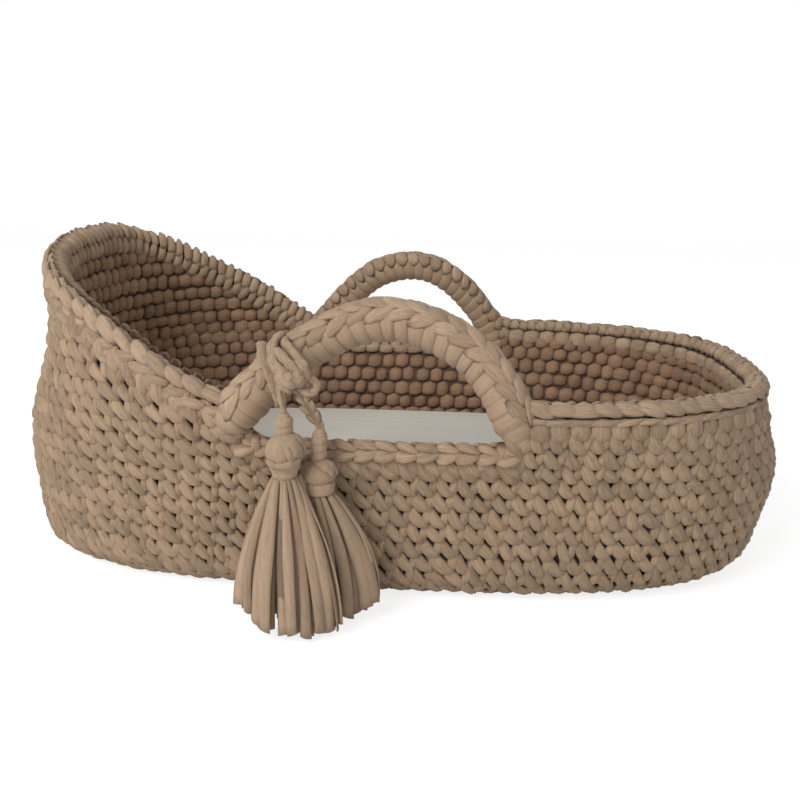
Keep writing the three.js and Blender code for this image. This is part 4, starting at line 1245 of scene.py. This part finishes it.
def twisted_tail(side):
    """Two flat strands side by side, which wind a third of a turn from the knot to the tassel."""
    line = tail_line(side, 26)
    front, across = carried_frames(line)
    share = np.linspace(0, 1, len(line))[:, None]
    parts = [tail_core(line, 1.9 * MM)]
    for start in (0.2, 0.2 + math.pi):
        turn = start + share * TAIL_TURN
        path = line + (across * np.cos(turn) + front * np.sin(turn)) * 1.7 * MM
        parts.append(strand(path[::3], 2.6, 2.0, 26, twist=0.2, ends=0.55))
    return together(*parts), line


def chain_tail(side):
    """A crocheted chain, whose pairs of leaves point down."""
    line = tail_line(side, 40)
    front, _ = carried_frames(line)
    sizes = np.array([(0.62, 0.6, 0.58)] * 5 + [(0.36, 0.5, 0.36)])
    rows = []
    for outward in (front, -front):
        frames = lengthwise(frames_along(line, outward, count=len(sizes)))
        rows.append(copies(chain_pair, frames, sizes, 0.05, **CHAIN_PAINTED_SHADE))
    return together(tail_core(line, 2.6 * MM), *rows), line


# %% Sleeves, balls and bands
SLEEVE_DOME = 5 * MM
SLEEVE_TILT = 1.2 * MM
BAND_TILT = 0.8 * MM


def turned_rings(middles, radii, sides, squash, tilts, first_turn):
    """Rings of a turned piece, one round each middle. A tilt lifts one side of its ring."""
    turns = np.arange(sides) / sides * 2 * math.pi
    rings = []
    for middle, r, tilt in zip(middles, radii, np.broadcast_to(tilts, len(middles))):
        lift = np.sin(turns + first_turn) * tilt
        rings.append(middle + np.column_stack([np.cos(turns) * r, np.sin(turns) * r * squash, lift]))
    return rings


def sleeve(top, foot, radius, turns_of_yarn):
    """Flat yarn wound round the tail, seen as soft steps. Its top is round about the point where it sways."""
    share = np.linspace(0, 1, 46)
    middles = top + (foot - top) * share[:, None]
    wave = np.abs(np.sin(share * math.pi * turns_of_yarn))
    radii = radius * (0.86 + 0.14 * wave ** 0.5)
    down = np.linalg.norm(foot - top) * share
    below_dome = np.maximum(down - SLEEVE_DOME, 0)
    dome = np.sqrt(SLEEVE_DOME ** 2 - np.maximum(SLEEVE_DOME - down, 0) ** 2) + 1.6 * below_dome
    radii = np.minimum(radii, dome + 0.2 * MM)
    radii[-2:] = radius * 0.7, radius * 0.25
    tilts = SLEEVE_TILT * np.clip(below_dome / (4 * MM), 0, 1)
    return skin_arrays(turned_rings(middles, radii, 26, 1.0, tilts, 0.6), False, 0.6, 1.0, 0.1, 1.6)


def middle_of(node):
    """The middle of a frame node's box."""
    low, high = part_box(node)
    return (np.array(low) + np.array(high)) / 2


def ball(side, strips, seed_turn, flat, shift):
    """Strips of yarn drawn over a ball from its top, where they meet, to the band under it."""
    low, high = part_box(f"tassel_ball_{side}")
    radius = (high[2] - low[2]) / 2
    centre = middle_of(f"tassel_ball_{side}") + np.array(shift) * MM
    around, down = 72, 34
    turns = np.arange(around) / around * 2 * math.pi
    rings = []
    for polar in np.linspace(0.06, math.pi - 0.35, down):
        seam = turns * strips / 2 + seed_turn + 0.5 * math.sin(polar * 1.3)
        groove = 1 - 0.075 * (1 - np.abs(np.sin(seam)) ** 0.35) * math.sin(polar) ** 0.4
        puff = 1 + 0.035 * np.sin(turns * 2 + seed_turn) * math.sin(polar)
        r = radius * groove * puff
        rings.append(centre + np.column_stack([
            np.cos(turns) * math.sin(polar) * r, np.sin(turns) * math.sin(polar) * r,
            np.full(around, math.cos(polar) * radius * flat),
        ]))
    return skin_arrays(rings, False, 0.55, 1.0, 0.15, 3.0), centre, radius


def over_ball(centre, radius, flat, first, last, wide, deep):
    """A broad strip that lies over the ball between two (turn, polar) directions, in degrees."""
    shares = np.linspace(0, 1, 7)
    path = []
    for share in shares:
        turn, polar = (math.radians(a + (b - a) * share) for a, b in zip(first, last))
        reach = radius + 1 * MM * math.sin(math.pi * share)
        around = math.sin(polar)
        direction = np.array((math.cos(turn) * around, math.sin(turn) * around, math.cos(polar) * flat))
        path.append(centre + reach * direction)
    outward = unit((path[0] - centre)[None])[0]
    return strand(path, wide, deep, 20, ends=0.5, first_front=outward)


def band(side, top_radius, foot_radius, turns_of_yarn, beyond):
    """Yarn wound round the strips under the ball, from so far above the solid's band to so far below it."""
    low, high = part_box(f"tassel_neck_{side}")
    share = np.linspace(0, 1, 30)
    middles = np.tile(middle_of(f"tassel_neck_{side}"), (len(share), 1))
    middles[:, 2] = high[2] + beyond - (high[2] - low[2] + 2 * beyond) * share
    wave = np.abs(np.sin(share * math.pi * turns_of_yarn)) ** 0.4
    radii = (top_radius + (foot_radius - top_radius) * share) * (0.93 + 0.07 * wave)
    radii[[0, -1]] *= 0.8
    return skin_arrays(turned_rings(middles, radii, 36, 0.94, BAND_TILT, 1.2), False, 0.7, 1.0, 0.06, 2.4)


# %% Skirts of cut strips
TIP_GAP = 4.5 * MM
SKIRTS = {
    "left": {"lean": (1.5, -10), "half": (46, 18), "outer": 19, "inner": 17, "rise": (24, 2)},
    "right": {"lean": (19, 8), "half": (35, 15), "outer": 15, "inner": 14, "rise": (4, 17)},
}


def cut_strip(start, tip, outward, half_width, thick, bow, twist, cut_lean, depth):
    """A flat strip with edges that curl in, hanging from the neck to its cut end."""
    share = np.linspace(0, 1, 15)[:, None]
    spread = np.sin(share * math.pi / 2) ** 0.9
    line = start + (tip - start) * np.hstack([spread, spread, share])
    line = line + outward * bow * np.sin(share * math.pi)
    section = np.linspace(-1, 1, 6)
    curl = thick * 1.5 * section ** 2
    across = np.concatenate([section, section[::-1] * 0.94])
    height = np.concatenate([thick * (1 - 0.5 * section ** 2) - curl, (-curl - thick * 0.5)[::-1]])
    cut = np.concatenate([section, section[::-1]]) * half_width * cut_lean
    rings = []
    for place, direction, s in zip(line, unit(np.gradient(line, axis=0)), share[:, 0]):
        flat_front = unit(outward - direction * np.dot(outward, direction))
        flat_side = np.cross(direction, flat_front)
        cos, sin = math.cos(twist * (s - 0.35)), math.sin(twist * (s - 0.35))
        side, front = flat_side * cos + flat_front * sin, flat_front * cos - flat_side * sin
        width = half_width * (0.34 + 0.66 * min(1, s * 2.2) ** 0.9)
        ring = place + np.outer(across * width, side) + np.outer(height, front)
        rings.append(ring + np.outer(cut, direction) if s == 1 else ring)
    return skin_arrays(rings, False, float(random.random()), depth, 0.9, 1.5)


def skirt(side):
    """Cut strips in an outer and an inner layer, spread over an oval below the neck."""
    low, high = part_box(f"tassel_neck_{side}")
    centre = middle_of(f"tassel_neck_{side}")
    top = low[2] + 1.0 * MM
    neck = (high[0] - low[0]) / 2 * 0.82
    shape = SKIRTS[side]
    lean, half, rise = (np.array(shape[key]) * MM for key in ("lean", "half", "rise"))
    parts = []
    # The inner layer's strips get a depth of 0.6, which draws them partly in the dark gap colour: painted
    # shade under the outer layer.
    for layer, inward, depth in (("outer", 1.0, 1.0), ("inner", 0.74, 0.6)):
        count = shape[layer]
        for i in range(count):
            turn = (i + random.uniform(-0.4, 0.4)) / count * 2 * math.pi + (0.3 if layer == "inner" else 0)
            direction = np.array((math.cos(turn), math.sin(turn)))
            start = np.array((*(centre[:2] + direction * neck * (0.95 if layer == "outer" else 0.6)), top))
            reach = half * inward * random.uniform(0.84, 0.98)
            edge = rise[0] * min(direction[0], 0) ** 2 + rise[1] * max(direction[0], 0) ** 2
            height = TIP_GAP + edge * inward + random.uniform(0, 5) * MM
            tip = np.array((*(centre[:2] + lean + direction * reach), height))
            outward = unit(np.array([[direction[0] / half[0], direction[1] / half[1], 0.0]]))[0]
            parts.append(cut_strip(
                start, tip, outward, random.uniform(4.2, 8.4) * MM, random.uniform(0.8, 1.3) * MM,
                random.uniform(-3.0, 4.5) * MM, random.uniform(-1.3, 1.3), random.uniform(-0.5, 0.5), depth,
            ))
    return together(*parts)


# %% Put the tassels together
HEADS = {
    "left": {
        "flat": 0.95, "shift": (0, 0, 0), "strips": 7, "seed_turn": 0.4, "sleeve": (8.0 * MM, 3.5),
        "laps": [((-60, 14), (-30, 100), 6.5, 2.2), ((-20, 8), (15, 96), 6, 2),
                 ((-85, 30), (-48, 124), 3.4, 2.2), ((-150, 118), (-95, 136), 5.2, 2.6),
                 ((-110, 132), (-20, 112), 4.6, 3.0)],
        "band": (14.4 * MM, 9.6 * MM, 2.0, 1.5 * MM),
    },
    "right": {
        "flat": 0.8, "shift": (-1.5, 0, -2.0), "strips": 6, "seed_turn": 1.3, "sleeve": (7.2 * MM, 4.5),
        "laps": [((-75, 16), (-20, 82), 5.2, 2.4), ((-30, 6), (5, 92), 5.5, 2)],
        "band": (13.0 * MM, 12.6 * MM, 1.0, 1.0 * MM),
    },
}


def build_tassel(side, tail):
    arrays, line = tail(side)
    cord = lay(f"tassel_tail_{side}", arrays, tassel_yarn, f"{side}_cord")
    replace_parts(cord, f"tassel_cord_{side}")
    tassel, shape = f"{side}_tassel", HEADS[side]
    flat = shape["flat"]
    ball_arrays, centre, radius = ball(side, shape["strips"], shape["seed_turn"], flat, shape["shift"])
    sleeve_arrays = sleeve(line[-1] + UP * SLEEVE_DOME, centre + UP * radius * flat * 0.8, *shape["sleeve"])
    wound = lay(f"tassel_winding_{side}", sleeve_arrays, strip_yarn, tassel)
    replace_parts(wound, f"tassel_sleeve_{side}")
    laps = [over_ball(centre, radius, flat, *lap) for lap in shape["laps"]]
    head = lay(f"tassel_head_{side}", together(ball_arrays, *laps), strip_yarn, tassel)
    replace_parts(head, f"tassel_ball_{side}")
    neck = lay(f"tassel_band_{side}", band(side, *shape["band"]), strip_yarn, tassel)
    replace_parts(neck, f"tassel_neck_{side}")
    strips_piece = lay(f"tassel_strips_{side}", skirt(side), strip_yarn, tassel)
    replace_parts(strips_piece, f"tassel_skirt_{side}")


build_tassel("left", twisted_tail)
build_tassel("right", chain_tail)

# %% [markdown]
# ## Cotton, foam, wood and zip
# The pieces inside are plain factory goods: woven cotton, foam, plywood, and a zip. One group gives a fine
# cross weave that the cotton and the zip's tape share, each at its own scale.

# %% Plain materials


def build_weave_group():
    group, inputs, outputs = new_group("cross_weave", [
        ("Cloth", "NodeSocketColor", (0.8, 0.78, 0.72, 1)), ("Threads", "NodeSocketFloat", 500.0),
    ], [("Colour", "NodeSocketColor"), ("Height", "NodeSocketFloat")])
    place = add_node(group, "ShaderNodeTexCoord")
    waves = []
    for axis in "XYZ":
        wave = add_node(group, "ShaderNodeTexWave", {"bands_direction": axis}, Distortion=0.6, Detail=0.0)
        group.links.new(place.outputs["Object"], wave.inputs["Vector"])
        group.links.new(inputs.outputs["Threads"], wave.inputs["Scale"])
        waves.append(wave.outputs["Fac"])
    total = math_node(group, "ADD", math_node(group, "ADD", waves[0], waves[1]), waves[2])
    cloudy = add_node(group, "ShaderNodeTexNoise", Scale=14.0, Detail=2.0)
    group.links.new(place.outputs["Object"], cloudy.inputs["Vector"])
    value = math_node(group, "ADD", math_node(group, "MULTIPLY", total, 0.03), 0.88)
    value = math_node(group, "ADD", value, math_node(group, "MULTIPLY", cloudy.outputs["Fac"], 0.12))
    shade = add_node(group, "ShaderNodeCombineColor")
    for i in range(3):
        group.links.new(value, shade.inputs[i])
    colour = mix_colour(group, 1.0, inputs.outputs["Cloth"], shade.outputs[0], "MULTIPLY")
    group.links.new(colour, outputs.inputs["Colour"])
    group.links.new(math_node(group, "MULTIPLY", total, 0.33), outputs.inputs["Height"])
    return group


weave_group = build_weave_group()


def plain_material(name, roughness, metallic=0.0):
    material = bpy.data.materials.new(name)
    material.use_nodes = True
    shader = material.node_tree.nodes["Principled BSDF"]
    shader.inputs["Roughness"].default_value = roughness
    shader.inputs["Metallic"].default_value = metallic
    return material, material.node_tree, shader


def add_bump(tree, shader, height, strength, distance):
    bump = add_node(tree, "ShaderNodeBump", Strength=strength, Distance=distance)
    tree.links.new(height, bump.inputs["Height"])
    tree.links.new(bump.outputs["Normal"], shader.inputs["Normal"])


def woven(name, colour, threads, relief):
    material, tree, shader = plain_material(name, 0.9)
    surface = add_node(tree, "ShaderNodeGroup", {"node_tree": weave_group})
    surface.inputs["Cloth"].default_value = (*colour, 1)
    surface.inputs["Threads"].default_value = threads
    tree.links.new(surface.outputs["Colour"], shader.inputs["Base Color"])
    add_bump(tree, shader, surface.outputs["Height"], 0.5, relief)
    shader.inputs["Sheen Weight"].default_value = 0.15
    return material


def grained(name, low, high, scale, stretch, roughness, relief, metallic=0.0):
    """Two colours mixed by a noise that may be stretched along an axis."""
    material, tree, shader = plain_material(name, roughness, metallic)
    place = add_node(tree, "ShaderNodeTexCoord")
    lengthen = add_node(tree, "ShaderNodeMapping", Scale=stretch)
    noise = add_node(tree, "ShaderNodeTexNoise", Scale=scale, Detail=4.0, Distortion=0.4)
    tree.links.new(place.outputs["Object"], lengthen.inputs["Vector"])
    tree.links.new(lengthen.outputs[0], noise.inputs["Vector"])
    colour = mix_colour(tree, noise.outputs["Fac"], (*low, 1), (*high, 1))
    tree.links.new(colour, shader.inputs["Base Color"])
    add_bump(tree, shader, noise.outputs["Fac"], 0.6, relief)
    return material


# The cover's cotton is white; its colour is set to a darker grey as painted shade for the shadow it lies in
# inside the basket.
mattress_cotton_painted_shade = woven("mattress cotton with painted shade", (0.655, 0.62, 0.545), 420.0, 0.0003)
zip_tape = woven("zip tape", (0.72, 0.70, 0.65), 700.0, 0.0002)
foam = grained("mattress foam", (0.70, 0.66, 0.52), (0.82, 0.79, 0.66), 420.0, (1, 1, 1), 0.95, 0.0008)
plywood = grained("birch plywood", (0.50, 0.36, 0.21), (0.68, 0.52, 0.33), 36.0, (0.12, 1, 1), 0.6, 0.0002)
zip_metal = grained("zip metal", (0.52, 0.51, 0.49), (0.64, 0.63, 0.60), 300.0, (1, 1, 1), 0.34, 0.00005, 1.0)
for node, material in (
    ("mattress_core", foam), ("base_board", plywood), ("cover_zip", zip_tape), ("zip_slider", zip_metal),
):
    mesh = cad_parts[node].data
    mesh.materials.clear()
    mesh.materials.append(material)
print("the plain pieces have their materials")

# %% [markdown]
# ## The mattress
# A foam pad in a white cotton cover lies on the board. The cover is the one padded piece, so it gets the
# shape that cloth takes when it is filled: a plain pad is remeshed evenly, raised towards its middle, blown
# up a little by cloth simulation, and kept from moving far.

# %% The cover
MATTRESS_LOW, MATTRESS_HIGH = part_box("mattress_cover")
COVER_FRAMES = 14
COVER_CAP = 2.5 * MM
COVER_CROWN = 6 * MM
COVER_VOXEL = 6 * MM
COVER_SLACK = 2 * MM
MATTRESS_MIDDLE = (MATTRESS_LOW[0] + MATTRESS_HIGH[0]) / 2
MATTRESS_REACH = (MATTRESS_HIGH[0] - MATTRESS_LOW[0]) / 2
MATTRESS_SIDE = (MATTRESS_HIGH[1] - MATTRESS_LOW[1]) / 2


def mattress_outline(inset, count):
    """The mattress's outline, seen from above, that far in from its edge."""
    turns = np.arange(count) / count * 2 * math.pi
    along, across = np.cos(turns), np.sin(turns)
    x = np.sign(along) * (MATTRESS_REACH - inset) * np.abs(along) ** (2 / OUTLINE_POWER) + MATTRESS_MIDDLE
    y = np.sign(across) * (MATTRESS_SIDE - inset) * np.abs(across) ** (2 / OUTLINE_POWER)
    return x, y


def pad_shape(name, low, high, inset, corner):
    """An oval pad with rounded edges, raised from a circle by extruding and drawing in."""
    deselect_all()
    corners = 96
    bpy.ops.mesh.primitive_circle_add(vertices=corners, radius=1, fill_type="NGON", location=(0, 0, low))
    pad = bpy.context.object
    pad.name = name
    for vertex, x, y in zip(pad.data.vertices, *mattress_outline(inset + corner, corners)):
        vertex.co = (x, y, 0)
    bpy.ops.object.transform_apply(location=True, rotation=True, scale=True)
    bpy.ops.object.mode_set(mode="EDIT")
    bpy.ops.mesh.select_all(action="SELECT")
    turns = np.linspace(0, math.pi / 2, 4)
    insets = [inset + corner * (1 - math.sin(turn)) for turn in turns]
    heights = [low + corner * (1 - math.cos(turn)) for turn in turns]
    insets, heights = insets + insets[::-1], heights + [high + low - height for height in heights[::-1]]
    for before, after, start, end in zip(insets, insets[1:], heights, heights[1:]):
        bpy.ops.mesh.extrude_region_move(TRANSFORM_OT_translate={"value": (0, 0, end - start)})
        scale_x = (MATTRESS_REACH - after) / (MATTRESS_REACH - before)
        scale_y = (MATTRESS_SIDE - after) / (MATTRESS_SIDE - before)
        bpy.ops.transform.resize(value=(scale_x, scale_y, 1), center_override=(MATTRESS_MIDDLE, 0, 0))
    bpy.ops.mesh.select_all(action="SELECT")
    bpy.ops.mesh.normals_make_consistent(inside=False)
    bpy.ops.object.mode_set(mode="OBJECT")
    return pad


def apply_modifier(piece, kind, **settings):
    deselect_all()
    piece.select_set(True)
    bpy.context.view_layer.objects.active = piece
    modifier = piece.modifiers.new(kind.lower(), kind)
    for key, value in settings.items():
        setattr(modifier, key, value)
    bpy.ops.object.modifier_apply(modifier=modifier.name)


def raise_crown(pad):
    """Lifts the top towards its middle."""
    points = np.empty(len(pad.data.vertices) * 3)
    pad.data.vertices.foreach_get("co", points)
    p = points.reshape(-1, 3)
    x = np.abs(p[:, 0] - MATTRESS_MIDDLE) / MATTRESS_REACH
    y = np.abs(p[:, 1]) / MATTRESS_HIGH[1]
    from_middle = np.minimum((x ** 3 + y ** 3) ** (1 / 3), 1)
    level = (p[:, 2] - p[:, 2].min()) / np.ptp(p[:, 2])
    p[:, 2] += COVER_CROWN * (1 - from_middle ** 2) * level ** 3
    pad.data.vertices.foreach_set("co", points)
    pad.data.update()


def fill_with_cloth(pad):
    """Blows the pad up with cloth simulation, and keeps each point within a short way of where it was."""
    apply_modifier(pad, "REMESH", mode="VOXEL", voxel_size=COVER_VOXEL)
    raise_crown(pad)
    before = np.empty(len(pad.data.vertices) * 3)
    pad.data.vertices.foreach_get("co", before)
    cloth = pad.modifiers.new("cloth", "CLOTH")
    cloth.settings.use_pressure = True
    cloth.settings.uniform_pressure_force = 1.6
    cloth.settings.quality = 4
    cloth.settings.effector_weights.gravity = 0
    cloth.settings.tension_stiffness = 20
    cloth.settings.compression_stiffness = 5
    cloth.settings.bending_stiffness = 1.5
    cloth.settings.shrink_min = -0.01
    for frame_number in range(1, COVER_FRAMES + 1):
        scene.frame_set(frame_number)
    deselect_all()
    pad.select_set(True)
    bpy.context.view_layer.objects.active = pad
    bpy.ops.object.modifier_apply(modifier=cloth.name)
    scene.frame_set(1)
    after = np.empty_like(before)
    pad.data.vertices.foreach_get("co", after)
    before, after = before.reshape(-1, 3), after.reshape(-1, 3)
    move = after - before
    far = np.linalg.norm(move, axis=1, keepdims=True)
    moved = before + move * np.minimum(1, COVER_CAP / np.maximum(far, 1e-9))
    low, high = np.array(MATTRESS_LOW), np.array(MATTRESS_HIGH)
    moved = np.clip(
        moved, low - (COVER_SLACK, COVER_SLACK, 0), high + (COVER_SLACK, COVER_SLACK, COVER_SLACK + 1 * MM),
    )
    pad.data.vertices.foreach_set("co", moved.ravel())
    pad.data.update()
    swell = round(float(np.median(far)) * 1000, 1)
    print("the cover swelled by", swell, "mm to a height of", float(moved[:, 2].max()))


cover = pad_shape(
    "mattress_cotton_cover", MATTRESS_LOW[2] + 0.5 * MM, MATTRESS_HIGH[2] - COVER_CROWN, 1.5 * MM, 11 * MM,
)
fill_with_cloth(cover)
apply_modifier(cover, "SUBSURF", levels=1, render_levels=1)
cover.data.materials.clear()
cover.data.materials.append(mattress_cotton_painted_shade)
cover.data.polygons.foreach_set("use_smooth", np.ones(len(cover.data.polygons), bool))
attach(cover, "mattress")
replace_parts(cover, "mattress_cover")

# %% Piping
PIPING_HEIGHTS = (MATTRESS_HIGH[2] - 17 * MM, MATTRESS_LOW[2] + 12 * MM)
PIPING_INSET = 0.6 * MM
PIPING_RADIUS = 2.2 * MM


def piping(height):
    """A thin round edging in the seam between the side band and the top or the bottom."""
    x, y = mattress_outline(PIPING_INSET, 180)
    line = np.column_stack([x, y, np.full(len(x), height)])
    ahead = unit(np.roll(line, -1, axis=0) - np.roll(line, 1, axis=0))
    upward = np.tile(UP, (len(line), 1))
    rings = rings_round(line, np.cross(ahead, UP), upward, PIPING_RADIUS, PIPING_RADIUS)
    return skin_arrays(rings, True, 0.5, 1.0, 0.2)


edges = together(*(piping(height) for height in PIPING_HEIGHTS))
lay("mattress_piping", edges, mattress_cotton_painted_shade, "mattress")

# %% [markdown]
# ## The base
# The base is worked first on the real basket: flat oval rounds from the middle out. From below its stitches
# lie pressed against whatever the basket stands on.

# %% Base rounds
BASE_LAST_INSET = 185 * MM


def base_rounds(height):
    """Rounds of stitches on the underside, flattened by the basket's weight."""
    rounds = []
    inset = BOTTOM_RADIUS + 4 * MM
    row = 0
    while inset < BASE_LAST_INSET:
        count = max(int(line_length(wall_point(inset, 0.0, FINE_ANGLES)) / STITCH_WIDTH), 6)
        angle = evenly_round(inset, 0.0, count, 0.37 * row)
        place = wall_point(inset, 0.0, angle)
        right = unit(wall_point(inset, 0.0, angle + 0.01) - wall_point(inset, 0.0, angle - 0.01))
        out = np.tile((0, 0, -1.0), (count, 1))
        place[:, 2] = height
        rounds.append({"place": place, "right": right, "up": np.cross(out, right), "out": out})
        inset += ROW_HEIGHT
        row += 1
    return copies(outside_stitch, joined_frames(rounds), (1, 1, 0.6), 0.05, **STITCH_PAINTED_SHADE)


def base_core():
    """A plain slab inside the base, which closes the gaps between its stitches."""
    angles = np.linspace(-math.pi, math.pi, 181)[:-1]
    outline = wall_point(BOTTOM_RADIUS - 1 * MM, 0.0, angles)
    rings = [outline + UP * height for height in (4 * MM, 15 * MM)]
    # A low tone and a depth of 0.3 draw the slab mostly in the dark gap colour: painted shade inside the
    # base.
    return skin_arrays(rings, False, 0.3, 0.3, 0.5)


base = together(base_rounds(4.2 * MM), base_core())
base_piece = lay("base_crochet", base, wall_yarn, "basket")
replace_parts(base_piece, "base_mat")

# %% [markdown]
# ## The floor and the light
# The basket was photographed on white. A large soft lamp and an even sky light it; the white behind it comes
# from what the camera sees of the floor and the sky, not from more light.

# %% Floor, sky and lamp
LAMP_PLACE = (-1.05, -1.66, 1.62)
LAMP_AIM = (0.0, -0.15, 0.12)
LAMP_SIZE = 1.4
LAMP_POWER = 34
SKY_LIGHT = 0.5
FLOOR_GLOW = 1.34
FLOOR_GLOW_SHARE = 0.6


def make_floor():
    """A white floor that keeps its shadows and glows a little for the camera only."""
    deselect_all()
    bpy.ops.mesh.primitive_plane_add(size=8, location=(0, 0, 0))
    floor = bpy.context.object
    floor.name = "floor"
    material = bpy.data.materials.new("floor white")
    material.use_nodes = True
    tree = material.node_tree
    shader = tree.nodes["Principled BSDF"]
    shader.inputs["Base Color"].default_value = (0.9, 0.9, 0.9, 1)
    shader.inputs["Roughness"].default_value = 0.9
    shine = add_node(tree, "ShaderNodeEmission", Strength=FLOOR_GLOW)
    path = add_node(tree, "ShaderNodeLightPath")
    mix = add_node(tree, "ShaderNodeMixShader")
    part = math_node(tree, "MULTIPLY", path.outputs["Is Camera Ray"], FLOOR_GLOW_SHARE)
    tree.links.new(part, mix.inputs[0])
    tree.links.new(shader.outputs[0], mix.inputs[1])
    tree.links.new(shine.outputs[0], mix.inputs[2])
    tree.links.new(mix.outputs[0], tree.nodes["Material Output"].inputs[0])
    floor.data.materials.append(material)


def make_sky():
    """An even sky, which the camera sees as plain white."""
    world = bpy.data.worlds.new("studio")
    scene.world = world
    world.use_nodes = True
    nodes = world.node_tree
    light = nodes.nodes["Background"]
    light.inputs[0].default_value = (1.0, 1.0, 1.0, 1)
    light.inputs[1].default_value = SKY_LIGHT
    seen = add_node(nodes, "ShaderNodeBackground", Strength=1.0, Color=(1, 1, 1, 1))
    way = add_node(nodes, "ShaderNodeLightPath")
    blend = add_node(nodes, "ShaderNodeMixShader")
    nodes.links.new(way.outputs["Is Camera Ray"], blend.inputs[0])
    nodes.links.new(light.outputs[0], blend.inputs[1])
    nodes.links.new(seen.outputs[0], blend.inputs[2])
    nodes.links.new(blend.outputs[0], nodes.nodes["World Output"].inputs[0])


def make_lamp():
    """One large round lamp from the left, in front and above, which aims at the basket."""
    lamp = bpy.data.lights.new("key", "AREA")
    lamp.shape = "DISK"
    lamp.size = LAMP_SIZE
    lamp.energy = LAMP_POWER
    key = bpy.data.objects.new("key", lamp)
    key.location = LAMP_PLACE
    key.rotation_euler = (Vector(LAMP_PLACE) - Vector(LAMP_AIM)).to_track_quat("Z", "Y").to_euler()
    scene.collection.objects.link(key)


make_floor()
make_sky()
make_lamp()
